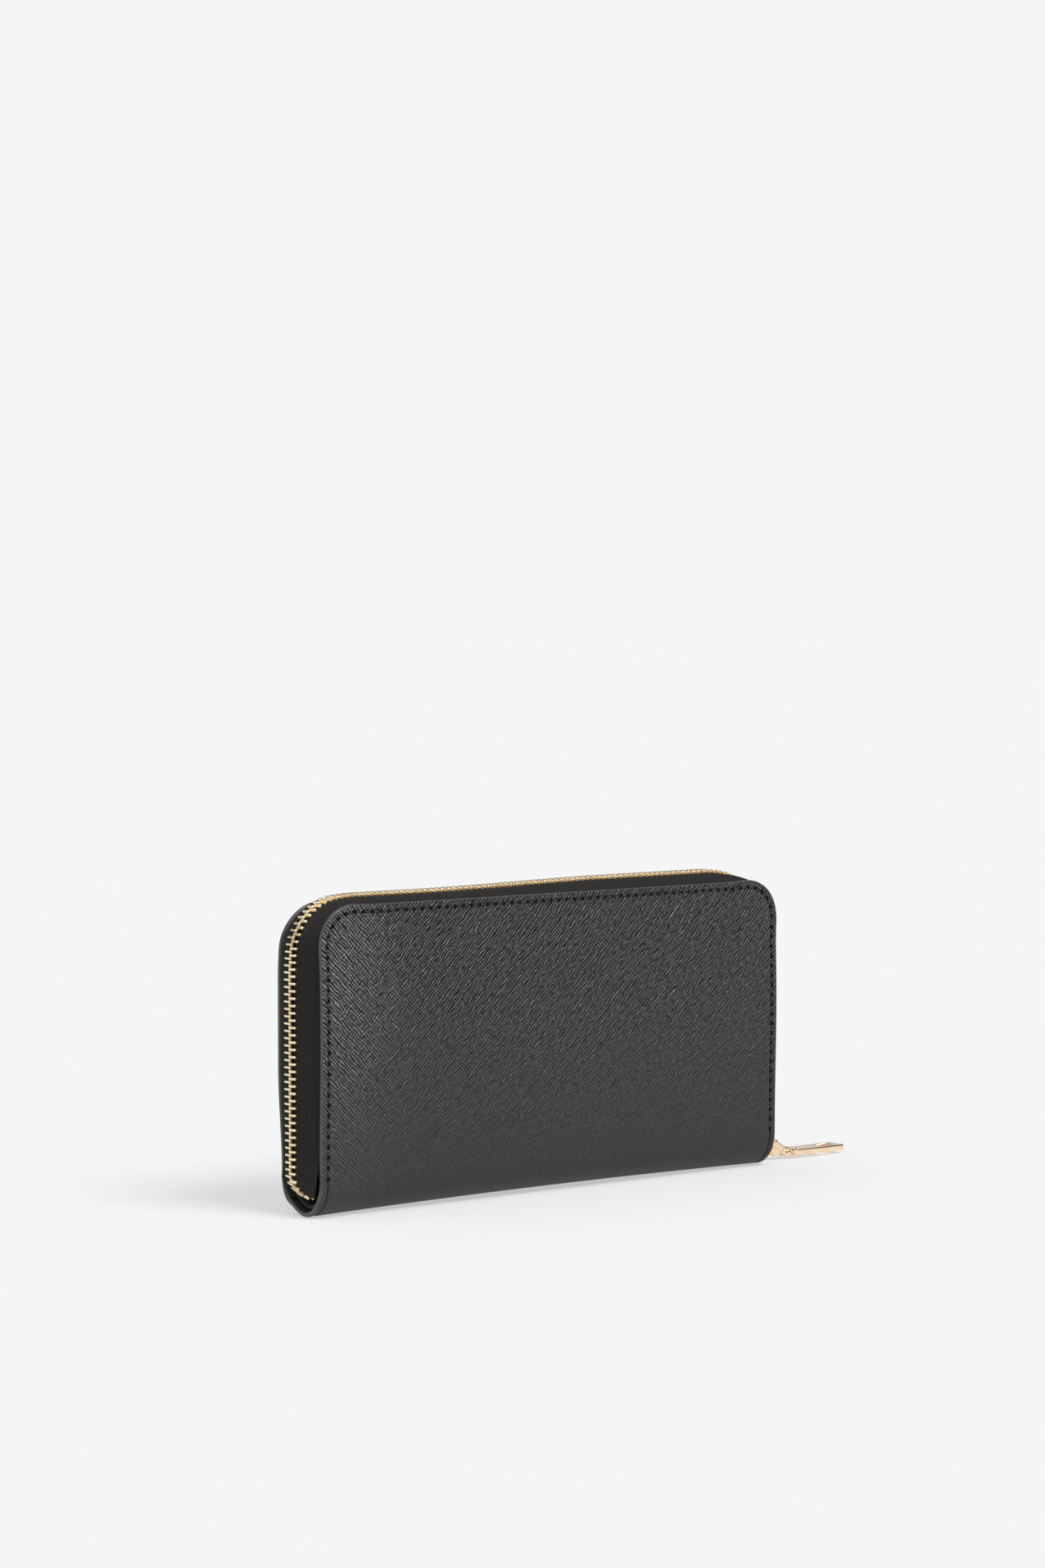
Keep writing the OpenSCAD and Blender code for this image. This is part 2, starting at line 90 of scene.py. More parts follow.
STITCH_INSET = 2.4
STITCH_PITCH = 3.3
STITCH_DEPTH = 0.16  # depth of the thread's middle below the leather's face


def smooth_step(x, low, high):
    """0 before low, 1 after high, and 3t^2 - 2t^3 between."""
    t = np.clip((x - low) / (high - low), 0, 1)
    return t * t * (3 - 2 * t)


def bump(x, centre, width):
    """Bell of height 1 at centre: exp(-((x - centre) / width)^2)."""
    return np.exp(-((x - centre) / width) ** 2)


def together(*parts):
    """Arrays of shapes that fit each other, as the coordinates of one array of points."""
    return np.stack(np.broadcast_arrays(*parts), axis=-1)


LEAN = 0.17  # share by which the back half leans in at the foot
SWELL = 0.06  # share by which the front swells at mid height
FOOT_ARCH = 0.95  # rise of the foot's middle
FOOT_FLAT = 2.1  # rise of the foot's back corner
FOOT_DROP = 0.75
PULL_Y = (-10.5, -8.5, -3.0, 12.0)  # how far the top corners go outward, from front to back
PULL_OUT = (1.0, 0.4, -1.7, -1.3)
ZIP_BACK = 2.0  # the zip's way to the back at the left end
ZIP_RISE = 1.2  # its rise along the right half of the top


def settle(points):
    """Shape of the standing wallet: the back half leans in towards the foot, the front swells a little at
    mid height, the foot's back corner is flattened, so that the wallet stands just in front of its middle,
    and the foot is a shallow arch that stands on its two ends. The top corners are rounder at the back and
    at the zip than at the front. Each is a small move that fades out."""
    x, y, z = points.T
    corner = smooth_step(np.abs(x), HALF_W - 23, HALF_W - 3) * smooth_step(z, TOP - 23, TOP - 3)
    pull = corner * np.interp(y, PULL_Y, PULL_OUT) * math.sqrt(0.5)
    x = x + np.sign(x) * pull
    z = z + pull
    lean = 1 - LEAN * (1 - smooth_step(z, 12, 46))
    swell = 1 + SWELL * bump(z, 56, 26)
    y = np.where(y > 0, y * lean, y * swell)
    flattened = FOOT_FLAT * bump(y, 4.2, np.where(y < 4.2, 5.8, 3.6)) - FOOT_DROP
    arch = FOOT_ARCH * (1 - (x / HALF_W) ** 2) * (1 - smooth_step(z, 0, 60))
    ends = smooth_step(HALF_W - np.abs(x), -8, 0)
    return together(x, y, z + arch * ends + flattened * (1 - smooth_step(z, 6, 17)))


def sway(points):
    """The zip's middle lies up to ZIP_BACK nearer the back at the left end and rises by up to ZIP_RISE
    along the right half of the top. Its tape gives way."""
    x, y, z = points.T
    middle = 1 - smooth_step(np.abs(y), 3.2, 9.2)
    shift = ZIP_BACK * (1 - smooth_step(x, -80, 10)) * middle
    right_half = smooth_step(x, -50, 30) * (1 - smooth_step(x, 72, 92))
    rise = ZIP_RISE * right_half * smooth_step(z, TOP - 6, TOP) * middle
    return together(x, y + shift, z + rise)


# ---- forms

class Form:
    """Closed shape: points in millimetres, faces as arrays of corner numbers, one finish number per array,
    and two maps: flat, in millimetres over the material, and edge, along and in from the sewn edge."""

    def __init__(self, points, faces, flat=None, finish=0, edge=None):
        self.points = np.asarray(points, float)
        self.faces = [np.atleast_2d(np.asarray(f, int)) for f in faces]
        self.flat = np.zeros((len(self.points), 2)) if flat is None else np.asarray(flat).reshape(-1, 2)
        self.edge = np.zeros((len(self.points), 2)) if edge is None else edge
        self.finish = finish if isinstance(finish, list) else [finish] * len(self.faces)

    def placed(self, function):
        """The same shape with its points moved by a function of all points."""
        return Form(function(self.points), self.faces, self.flat, self.finish, self.edge)

    def mirrored(self, axis):
        """The shape across the plane where that coordinate is 0."""
        side = np.ones(3)
        side[axis] = -1
        return self.placed(lambda points: points * side)

    def volume(self):
        """Signed volume: the sum of each fan triangle's dot product with its place, over 6."""
        total = 0.0
        for faces in self.faces:
            for k in range(1, faces.shape[1] - 1):
                a, b, c = (self.points[faces[:, i]] for i in (0, k, k + 1))
                total += np.einsum("ij,ij->", a, np.cross(b, c)) / 6
        return total


def make_piece(name, forms, finishes, sharp):
    """One mesh of closed forms, each turned so that its faces point outwards, with sharp edges where two
    faces meet at more than sharp degrees."""
    corners, sizes, slots = [], [], []
    count = 0
    for form in forms:
        turned = form.volume() < 0
        for faces, finish in zip(form.faces, form.finish):
            kept = faces[:, ::-1] if turned else faces
            corners.append(kept.ravel() + count)
            sizes.append(np.full(len(kept), kept.shape[1]))
            slots.append(np.full(len(kept), finish))
        count += len(form.points)
    points = np.concatenate([form.points for form in forms])
    corners, sizes, slots = np.concatenate(corners), np.concatenate(sizes), np.concatenate(slots)
    mesh = bpy.data.meshes.new(name)
    mesh.vertices.add(len(points))
    mesh.vertices.foreach_set("co", (points * MM).astype(np.float32).ravel())
    mesh.loops.add(len(corners))
    mesh.loops.foreach_set("vertex_index", corners.astype(np.int32))
    mesh.polygons.add(len(sizes))
    mesh.polygons.foreach_set("loop_start", (np.cumsum(sizes) - sizes).astype(np.int32))
    mesh.polygons.foreach_set("material_index", slots.astype(np.int32))
    mesh.update(calc_edges=True)
    mesh.validate()
    mesh.polygons.foreach_set("use_smooth", np.ones(len(sizes), bool))
    mesh.set_sharp_from_angle(angle=math.radians(sharp))
    for name_of_map in ("flat", "edge"):
        values = np.concatenate([getattr(form, name_of_map) for form in forms])
        layer = mesh.uv_layers.new(name=name_of_map)
        layer.uv.foreach_set("vector", values[corners].astype(np.float32).ravel())
    for finish in finishes:
        mesh.materials.append(finish)
    thing = bpy.data.objects.new(name, mesh)
    bpy.context.scene.collection.objects.link(thing)
    return thing


def round_edges(piece, width, segments):
    """Bevel on the edges where two faces meet at more than 35 degrees."""
    bevel = piece.modifiers.new("round edges", "BEVEL")
    bevel.width = width * MM
    bevel.segments = segments
    bevel.limit_method = "ANGLE"
    bevel.angle_limit = math.radians(35)
    bevel.harden_normals = True


def grid_faces(rows, columns, start=0):
    """Quads of a grid of points stored row by row."""
    r, c = np.meshgrid(np.arange(rows - 1), np.arange(columns - 1), indexing="ij")
    first = (start + r * columns + c).ravel()
    return together(first, first + 1, first + columns + 1, first + columns)


def loft(rings, flat=None):
    """Closed rings of an even number of points, joined in order. Both ends are closed by quads between
    point k and its partner K - 1 - k, so a strip's section closes cleanly."""
    rings = np.asarray(rings, float)
    count, size = rings.shape[:2]
    s, k = np.meshgrid(np.arange(count - 1), np.arange(size), indexing="ij")
    here, beside = s * size + k, s * size + (k + 1) % size
    sides = together(here, beside, beside + size, here + size).reshape(-1, 4)
    k = np.arange(size // 2 - 1)
    end = together(k, k + 1, size - 2 - k, size - 1 - k)
    caps = np.concatenate([end[:, ::-1], end + (count - 1) * size])
    return Form(rings.reshape(-1, 3), [sides, caps], flat)


def repeated(template, origins, along, across, outward):
    """Copies of a small form at many places: template coordinates (a, b, c) are laid along three
    directions at each origin."""
    origins, along, across, outward = (np.asarray(v, float) for v in (origins, along, across, outward))
    p = template.points
    points = (origins[:, None] + p[None, :, 0, None] * along[:, None]
              + p[None, :, 1, None] * across[:, None] + p[None, :, 2, None] * outward[:, None])
    jump = (np.arange(len(origins)) * len(p))[:, None, None]
    faces = [(f[None] + jump).reshape(-1, f.shape[1]) for f in template.faces]
    return Form(points.reshape(-1, 3), faces, np.tile(template.flat, (len(origins), 1)))


def ellipse_rings(places, radii_b, radii_c, sides=8):
    """Rings round the first axis at the given places, each an ellipse with its own two radii."""
    turn = (np.arange(sides) + 0.5) * 2 * math.pi / sides
    places, radii_b, radii_c = (np.asarray(v, float)[:, None] for v in (places, radii_b, radii_c))
    return together(places, radii_b * np.cos(turn), radii_c * np.sin(turn))


# ---- routes

def edge_route(s, offset, low_left, low_right, top=STRAIGHT_TOP):
    """Walks up the left edge, over the top and down the right edge, offset outward from the covers'
    outline. The direction turns by 90 degrees round each corner of radius CORNER_R + offset, and the
    place is the corner's centre plus that radius along the outward normal."""
    s = np.asarray(s, float)
    radius = CORNER_R + offset
    arc = radius * math.pi / 2
    across = 2 * (HALF_W - CORNER_R)
    s1 = top - low_left
    s2 = s1 + arc
    s3 = s2 + across
    s4 = s3 + arc
    turn = (np.clip((s - s1) / arc, 0, 1) + np.clip((s - s3) / arc, 0, 1)) * math.pi / 2
    normal = together(-np.cos(turn), np.sin(turn))
    centre_x = -(HALF_W - CORNER_R) + np.clip(s - s2, 0, across)
    centre_z = top - np.clip(s1 - s, 0, s1) - np.clip(s - s4, 0, top - low_right)
    return together(centre_x, centre_z) + radius * normal, normal


ZIP_LENGTH = (2 * STRAIGHT_TOP - CURL_Z - RIGHT_END + (CORNER_R + CHAIN_MID) * math.pi
              + 2 * (HALF_W - CORNER_R))
CURL_LENGTH = CURL_R * math.radians(84)


def zip_route(s):
    """The zip's middle line: the edge route at the chain's height, and before it, at negative s, a curl
    of radius CURL_R inwards above the spine."""
    place, normal = edge_route(np.maximum(s, 0), CHAIN_MID, CURL_Z, RIGHT_END)
    curl = np.minimum(s, 0) / CURL_R
    curl_normal = together(-np.cos(curl), np.sin(curl))
    curl_place = np.array([CURL_X, CURL_Z]) + CURL_R * curl_normal
    in_curl = (np.asarray(s) < 0)[..., None]
    return np.where(in_curl, curl_place, place), np.where(in_curl, curl_normal, normal)


def stations(low, high, step, marks=()):
    """Places from low to high about one step apart, with every mark between them included."""
    marks = [low, *[m for m in sorted(marks) if low < m < high], high]
    parts = [np.linspace(a, b, max(2, int(round((b - a) / step)) + 1))[:-1]
             for a, b in zip(marks[:-1], marks[1:])]
    return np.concatenate([*parts, [high]])


# ---- flat sheets of leather and lining

def edge_distance(u, v, half_w, top, corner):
    """Distance inward from an outline with vertical sides, a flat top and two round top corners."""
    cu, cv = np.abs(u) - (half_w - corner), v - (top - corner)
    square = np.minimum(half_w - np.abs(u), top - v)
    return np.where((cu > 0) & (cv > 0), corner - np.hypot(cu, cv), square)


def edge_along(u, v, half_w, top, corner):
    """Distance along the outline from the foot up to the middle of the top edge: the height on the
    straight side, then corner radius times the turn round the corner, then the way to the middle."""
    cu, cv = np.abs(u) - (half_w - corner), v - (top - corner)
    in_corner = (cu > 0) & (cv > 0)
    turn = np.arctan2(np.maximum(cv, 0), np.maximum(cu, 1e-6))
    radius = corner - STITCH_INSET
    on_top = (cu <= 0) & (half_w - np.abs(u) > top - v)
    return np.where(in_corner, top - corner + radius * turn,
                    np.where(on_top, top - corner + radius * math.pi / 2 - cu, np.minimum(v, top - corner)))


def edge_columns(half_w, fine, fine_width, coarse):
    """Places across a sheet from -1 to 1: fine steps near both edges and coarse steps between."""
    near = np.arange(0, fine_width, fine)
    inner = np.linspace(fine_width, 2 * half_w - fine_width,
                        max(2, int((2 * half_w - 2 * fine_width) / coarse)))
    far = 2 * half_w - near[::-1]
    return np.concatenate([near, inner, far]) / half_w - 1


def sheet_form(half_w, low, top, corner, front, back, place, round_r=0.4, fine=0.3, fine_width=5.0,
               coarse=0.85, relief=None, inner_relief=None, finishes=(0, 0, 0), centre=0.0):
    """Sheet between depths front and back with a rounded rim. Points are (u, v, depth): rows of constant
    v whose half width follows the round corners, w = half_w - corner + corner cos a at
    v = top - corner + corner sin a. The rim rolls over by quarter circles of radius round_r. relief and
    inner_relief raise the two faces by a function of (u, v, distance from the edge). place wraps
    (u, v, depth) into space."""
    e = round_r
    straight = stations(low, top - corner, coarse)
    angles = np.radians(np.linspace(0, 90, max(4, int(corner * 2.6)) + 1))[1:]
    columns = edge_columns(half_w, fine, fine_width, coarse)

    def outline(inset):
        """Row heights and half widths of the outline moved inward."""
        r = corner - inset
        v = np.concatenate([np.clip(straight, low, None), top - corner + r * np.sin(angles)])
        w = np.concatenate([np.full(len(straight), half_w - inset), half_w - corner + r * np.cos(angles)])
        return v, w

    v, w = outline(e)
    u_grid = w[:, None] * columns[None, :]
    v_grid = np.repeat(v[:, None], len(columns), axis=1)
    rows, cols = u_grid.shape
    distance = edge_distance(u_grid, v_grid, half_w, top, corner)
    up = relief(u_grid, v_grid, distance) if relief else 0 * u_grid
    down = inner_relief(u_grid, v_grid, distance) if inner_relief else 0 * u_grid
    outer = together(u_grid, v_grid, front - up).reshape(-1, 3)
    inner = together(u_grid, v_grid, back + down).reshape(-1, 3)

    edge = np.concatenate([np.arange(rows) * cols, (rows - 1) * cols + np.arange(1, cols),
                           (np.arange(rows - 2, -1, -1)) * cols + cols - 1])
    turn = np.concatenate([np.zeros(len(straight)), angles])
    normal_u = np.concatenate([-np.cos(turn), np.zeros(cols - 1), np.cos(turn[-2::-1])])
    normal_v = np.concatenate([np.sin(turn), np.ones(cols - 1), np.sin(turn[-2::-1])])
    rim_turns = np.radians([30, 60, 90])
    levels = [(e * math.sin(t), front + e * (1 - math.cos(t))) for t in rim_turns]
    levels += [(e * math.cos(t), back - e * (1 - math.sin(t))) for t in np.radians([0, 30, 60])]
    base = outer[edge]
    rims = [together(base[:, 0] + normal_u * outward, base[:, 1] + normal_v * outward, depth)
            for outward, depth in levels]
    points = np.concatenate([outer, *rims, inner])
    inner_start = len(outer) + len(levels) * len(edge)
    loops = [edge, *[len(outer) + k * len(edge) + np.arange(len(edge)) for k in range(len(levels))],
             edge + inner_start]
    rim_faces = np.concatenate([together(a[:-1], a[1:], b[1:], b[:-1])
                                for a, b in zip(loops[:-1], loops[1:])])
    top_faces = grid_faces(rows, cols)
    under_faces = grid_faces(rows, cols, inner_start)[:, ::-1]
    j = np.arange(cols - 1)
    foot = together(j + 1, j, inner_start + j, inner_start + j + 1)
    ends = [np.array([[loop[0] for loop in loops]]), np.array([[loop[-1] for loop in loops][::-1]])]
    turned_over = len(edge) - 1
    faces = [top_faces, rim_faces[:turned_over], rim_faces[turned_over:], under_faces, foot, *ends]
    marks = [finishes[0], finishes[0], finishes[1], finishes[2], *[finishes[1]] * 3]
    along = edge_along(points[:, 0], points[:, 1], half_w, top, corner)
    inward = edge_distance(points[:, 0], points[:, 1], half_w, top, corner)
    shifted = points + [centre, 0, 0]
    return Form(place(shifted), faces, shifted[:, :2], marks, together(along, inward))


def wrapped(points):
    """(u, v, depth) of a cover sheet in space: round the foot on an arc of radius HALF_T - depth about the
    hinge line, then straight up."""
    u, v, depth = points.T
    r = HALF_T - depth
    angle = np.minimum(v, WRAP) / HALF_T
    return together(u, -r * np.sin(angle), HINGE_Z - r * np.cos(angle) + np.maximum(v - WRAP, 0))


def upright(points):
    """(u, v, depth) with v as the height and the depth measured in from the front face."""
    u, v, depth = points.T
    return together(u, depth - HALF_T, v)


# ---- finishes

def connect(tree, slot, value):
    """Links a value into a socket, or sets a plain number or colour on it."""
    if isinstance(value, Value):
        tree.links.new(value.socket, slot)
    else:
        slot.default_value = value


def arithmetic(operation, reflected=False):
    """An operator of Value: one Math node on the two values in their order."""
    def apply(self, other):
        return self.math(operation, *((other, self) if reflected else (self, other)))
    return apply


class Value:
    """A material's socket that takes part in arithmetic: each operation adds a Math node."""

    def __init__(self, tree, socket):
        self.tree = tree
        self.socket = socket

    def math(self, operation, *numbers):
        node = self.tree.nodes.new("ShaderNodeMath")
        node.operation = operation
        for slot, number in zip(node.inputs, numbers):
            connect(self.tree, slot, number)
        return Value(self.tree, node.outputs[0])

    __add__ = arithmetic("ADD")
    __radd__ = arithmetic("ADD", reflected=True)
    __sub__ = arithmetic("SUBTRACT")
    __rsub__ = arithmetic("SUBTRACT", reflected=True)
    __mul__ = arithmetic("MULTIPLY")
    __rmul__ = arithmetic("MULTIPLY", reflected=True)
    __truediv__ = arithmetic("DIVIDE")
    __rtruediv__ = arithmetic("DIVIDE", reflected=True)
    __pow__ = arithmetic("POWER")
    at_most = arithmetic("MINIMUM")
    at_least = arithmetic("MAXIMUM")

    def cosine(self):
        return self.math("COSINE", self)

    def root(self):
        return self.math("SQRT", self)

    def to_nearest(self, step):
        """Distance from the nearest whole number of steps."""
        return self.math("PINGPONG", self, step / 2)


class Finish:
    """A material under construction: one Principled shader with its constants, and the nodes that feed it."""

    def __init__(self, name, constants):
        self.material = bpy.data.materials.new(name)
        self.material.use_nodes = True
        self.tree = self.material.node_tree
        self.shader = self.tree.nodes["Principled BSDF"]
        for socket, value in constants.items():
            self.shader.inputs[socket].default_value = value

    def node(self, kind, settings=None, sockets=None, output=0):
        """Adds a node: its settings first, then the values or links of its sockets."""
        node = self.tree.nodes.new(kind)
        for name, value in (settings or {}).items():
            setattr(node, name, value)
        for name, value in (sockets or {}).items():
            connect(self.tree, node.inputs[name], value)
        return Value(self.tree, node.outputs[output])

    def map_axes(self, name):
        """The two axes of one of the piece's own maps."""
        place = self.node("ShaderNodeUVMap", {"uv_map": name})
        return [self.node("ShaderNodeSeparateXYZ", sockets={0: place}, output=axis) for axis in (0, 1)]

    def object_place(self):
        """The place on the object, in metres."""
        return self.node("ShaderNodeTexCoord", output=3)

    def vector(self, x, y, z=0.0):
        return self.node("ShaderNodeCombineXYZ", sockets={0: x, 1: y, 2: z})

    def noise(self, place, scale, detail=2.0, roughness=0.5):
        """Soft noise between 0 and 1."""
        return self.node("ShaderNodeTexNoise", sockets={
            "Vector": place, "Scale": scale, "Detail": detail, "Roughness": roughness})

    def ramp(self, value, low, high, to_low=0.0, to_high=1.0):
        """Smooth step of a value from low to high, onto to_low to to_high."""
        return self.node("ShaderNodeMapRange", {"interpolation_type": "SMOOTHSTEP"}, {
            "Value": value, "From Min": low, "From Max": high, "To Min": to_low, "To Max": to_high})

    def blend(self, factor, first, second):
        """Colour between first and second by factor."""
        return self.node("ShaderNodeMix", {"data_type": "RGBA"}, {0: factor, 6: first, 7: second}, output=2)

    def done(self, colour, roughness=None, height=None, depth=0.0, strength=1.0):
        """Links colour and roughness, and a bump of a height between 0 and 1 that stands for depth in
        millimetres. Gives the finished material."""
        connect(self.tree, self.shader.inputs["Base Color"], colour)
        if roughness:
            connect(self.tree, self.shader.inputs["Roughness"], roughness)
        if height:
            sockets = {"Strength": strength, "Distance": depth * MM, "Height": height}
            connect(self.tree, self.shader.inputs["Normal"], self.node("ShaderNodeBump", sockets=sockets))
        return self.material


def grey(level, warm=0.0):
    """Nearly neutral colour."""
    return (level * (1 + warm), level, level * (1 - warm), 1.0)


TURN = 2 * math.pi
STITCH_FROM = WRAP + 1.0  # the stitch line's lower end, on the sheet
STITCH_RUN = SHEET_TOP - CORNER_R - STITCH_FROM + (CORNER_R - STITCH_INSET) * math.pi / 2 + HALF_W - CORNER_R
STITCH_COUNT = round(STITCH_RUN / STITCH_PITCH)
STITCH_STEP = STITCH_RUN / STITCH_COUNT


def stripes(value, pitch):
    """Cosine wave of a pitch, between 0 and 1."""
    return (value * (TURN / pitch)).cosine() * 0.5 + 0.5


def grain_lines(f, across, along, pitch, seed):
    """Ridges at right angles to across, a pitch apart, that wander: between 0 and 1."""
    wander = f.noise(f.vector(along * 0.22, across * 0.42, seed), 1.0)
    return stripes(across + wander * 1.8, pitch)


def saffiano_leather():
    """Cross-grain leather: ridges along one diagonal, and near the left end along the other, lightly cut
    across, broken up at random and flattened towards the foot. The ridges are painted lighter as painted
    glints, more so near the left end as a painted sheen; the ground between them is painted shade up top
    and a painted reflection of the floor towards the foot. The sewing line and a hole between stitches
    are painted dark as painted shade."""
    f = Finish("saffiano leather", {"Specular IOR Level": 0.17})
    u, v = f.map_axes("flat")
    up = v.at_least(v * -1)
    rise, fall = (u + v) * math.sqrt(0.5), (v - u) * math.sqrt(0.5)
    rising = grain_lines(f, fall, rise, 0.9, 1.0)
    falling = grain_lines(f, rise, fall, 0.98, 11.0)
    patch = f.noise(f.vector(u, v, 5.0), 0.11, 3.0)
    broken = f.noise(f.vector(rise * 0.55, fall * 1.1, 9.0), 1.0, 2.0)
    # Near the left end the grain runs along the other diagonal; the same mask also paints a sheen on the
    # ridges there.
    near_left = f.ramp(u + patch * 30, -85.0, -40.0, 1.0, 0.0)
    one_way = rising ** 2.0 * (falling * 0.55 + 0.45)
    other_way = falling ** 2.0 * (rising * 0.6 + 0.45)
    height = one_way + (other_way - one_way) * near_left
    height = height * f.ramp(broken, 0.3, 0.58, 0.25, 1.0)
    # The grain's height from the foot up; it also scales the painted glints on the ridges and the painted
    # light between them.
    fade = f.ramp(up, 0.0, 97.0, 0.06, 1.0) * f.ramp(patch, 0.3, 0.7, 0.8, 1.1)
    run, inward = f.map_axes("edge")
    to_hole = (run - STITCH_FROM).to_nearest(STITCH_STEP) / 0.85
    to_line = (inward - STITCH_INSET) / 0.72
    sewn = f.ramp(run, STITCH_FROM - 0.8, STITCH_FROM - 0.6)
    # Painted shade: a round hole between stitches and the pressed sewing line are painted nearly black (grey
    # 0.001) below; the hole also deepens the bump.
    hole = f.ramp((to_hole * to_hole + to_line * to_line).root(), 0.6, 1.0, 1.0, 0.0) * sewn
    groove_painted_shade = f.ramp(to_line * to_line, 0.05, 0.5, 0.7, 0.0)
    # Painted light between the ridges: grey 0.041 towards the foot is a painted reflection of the floor, grey
    # 0.0005 up top is painted shade.
    gaps_painted_shade_and_reflection = f.blend(fade, grey(0.041), grey(0.0005))
    # Painted glints: the ridges are painted lighter, up to grey 0.42, fading towards the foot, and by a
    # larger share near the left end as a painted sheen.
    leather = f.blend(height * fade * (near_left * 0.65 + 0.72), gaps_painted_shade_and_reflection, grey(0.42))
    ridge = height * fade
    return f.done(f.blend(groove_painted_shade.at_least(hole), leather, grey(0.001)), 0.5 - ridge * 0.25,
                  ridge - hole * 1.5, 0.42)


def edge_paint():
    """Smooth dark paint on the cut edge, a little uneven."""
    f = Finish("edge paint", {"Specular IOR Level": 0.5})
    spots = f.noise(f.object_place(), 900.0, 3.0)
    return f.done(f.blend(spots, grey(0.045), grey(0.075)), spots * 0.15 + 0.25, spots, 0.05, 0.6)


def smooth_leather():
    """Fine-grained leather of the inside."""
    f = Finish("smooth leather", {"Specular IOR Level": 0.45})
    place = f.object_place()
    pebble = f.node("ShaderNodeTexVoronoi", {"feature": "DISTANCE_TO_EDGE"},
                    {"Vector": place, "Scale": 1400.0})
    grain = f.ramp(pebble, 0.0, 0.25)
    tone = f.blend(grain * 0.6 + f.noise(place, 60.0, 3.0) * 0.3, grey(0.012), grey(0.06))
    return f.done(tone, 0.55 - grain * 0.12, grain, 0.05, 0.7)


def twill_lining():
    """Woven lining with a fine diagonal rib."""
    f = Finish("twill lining", {"Specular IOR Level": 0.3, "Sheen Weight": 0.15, "Sheen Roughness": 0.5})
    u, v = f.map_axes("flat")
    weave = stripes(u + v * 0.5, 0.5) * (stripes(u - v * 2.0, 0.9) * 0.5 + 0.5)
    tone = f.blend(weave * 0.7 + f.noise(f.vector(u, v), 0.08, 3.0) * 0.3, grey(0.01), grey(0.05))
    return f.done(tone, 0.75 - weave * 0.1, weave, 0.05)


def grey_board():
    """Pressed fibre board."""
    f = Finish("fibre board", {"Specular IOR Level": 0.3, "Roughness": 0.85})
    fibre = f.noise(f.object_place(), 500.0, 6.0, 0.7)
    return f.done(f.blend(fibre, (0.2, 0.17, 0.13, 1), (0.36, 0.32, 0.26, 1)), None, fibre, 0.04)


def zip_tape():
    """Herringbone tape: ribs that run up and down again in columns along the tape."""
    f = Finish("herringbone tape", {"Specular IOR Level": 0.12})
    s, w = f.map_axes("flat")
    column = 1.3
    chevron = stripes(s + w.to_nearest(2 * column), 0.62)
    seam = f.ramp(w.to_nearest(column), 0.0, 0.12, 0.4, 1.0)
    weave = chevron * seam
    fuzz = f.noise(f.vector(s, w), 2.5, 3.0)
    tone = f.blend(weave * 0.75 + fuzz * 0.25, grey(0.001, 0.05), grey(0.042, 0.05))
    return f.done(tone, 0.85 - weave * 0.12, weave + fuzz * 0.3, 0.07)


def sewing_thread():
    """Twisted black thread."""
    f = Finish("sewing thread", {"Specular IOR Level": 0.5})
    along, round_it = f.map_axes("flat")
    twist = stripes(along + round_it * 0.5, 0.45)
    return f.done(f.blend(twist, grey(0.01), grey(0.06)), 0.65 - twist * 0.15, twist, 0.06)


def plated_metal(name, tint, dull, roughness):
    """Plated and polished metal with faint brush marks and tarnish in its tone."""
    f = Finish(name, {"Metallic": 1.0, "Specular IOR Level": 0.5})
    place = f.object_place()
    marks = f.noise(place, 2600.0, 2.0)
    tone = f.noise(place, 220.0, 3.0)
    return f.done(f.blend(f.ramp(tone, 0.3, 0.7), dull, tint), marks * 0.08 + roughness,
                  tone * 0.7 + marks * 0.3, 0.012, 0.5)


FLOOR_ALBEDO = 0.36
FLOOR_GLOW = 0.495
BACKDROP = 0.914  # the sky's tone for the camera
DOME_LOW = 0.1  # the dome's least brightness


def studio_floor():
    """Pale floor, lit from within like a light table, so that its shadows stay faint."""
    f = Finish("studio floor", {"Specular IOR Level": 0.0, "Roughness": 0.9,
                                "Emission Color": (1, 1, 1, 1), "Emission Strength": FLOOR_GLOW})
    fine = f.noise(f.object_place(), 40.0, 2.0)
    return f.done(f.blend(fine, grey(FLOOR_ALBEDO - 0.003), grey(FLOOR_ALBEDO + 0.003)))


LEATHER = saffiano_leather()
PAINT = edge_paint()
INSIDE = smooth_leather()
LINING = twill_lining()
BOARD = grey_board()
TAPE = zip_tape()
THREAD = sewing_thread()
TEETH = plated_metal("light gold teeth", (1.0, 0.86, 0.62, 1), (0.92, 0.74, 0.5, 1), 0.28)
ROSE = plated_metal("rose gold", (1.0, 0.82, 0.6, 1), (0.96, 0.7, 0.46, 1), 0.1)


# ---- tying pieces to the frame

def fit(name, forms, finishes, replaced, body=None, sharp=38, rounding=None):
    """Makes a piece, rounds its sharp edges by (width, segments), and hides the nodes it stands for. It rides
    on a body, or else keeps its place in space with its transform baked in."""
    piece = make_piece(name, forms, finishes, sharp)
    if rounding:
        round_edges(piece, *rounding)
    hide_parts(*replaced)
    if body:
        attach(piece, body)
    else:
        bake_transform(piece)


def sided(form, side):
    """A form drawn on the front, kept or mirrored to the back, and then settled."""
    placed = form if side == "front" else form.mirrored(1)
    return placed.placed(settle)


# ---- covers

def leather_relief(u, v, distance):
    """The leather swells softly inside its stitch line, and the line itself is pressed in."""
    swell = 0.35 * smooth_step(distance, 3, 20) * smooth_step(v, WRAP, WRAP + 20)
    return swell - 0.3 * bump(distance, STITCH_INSET, 0.5)


def board_pocket(u, v, distance):
    """Inside the turned edge the leather is thin, so that the board has room."""
    return -0.55 * smooth_step(distance, 2.6, 3.1) * smooth_step(v, WRAP + 2.6, WRAP + 3.1)


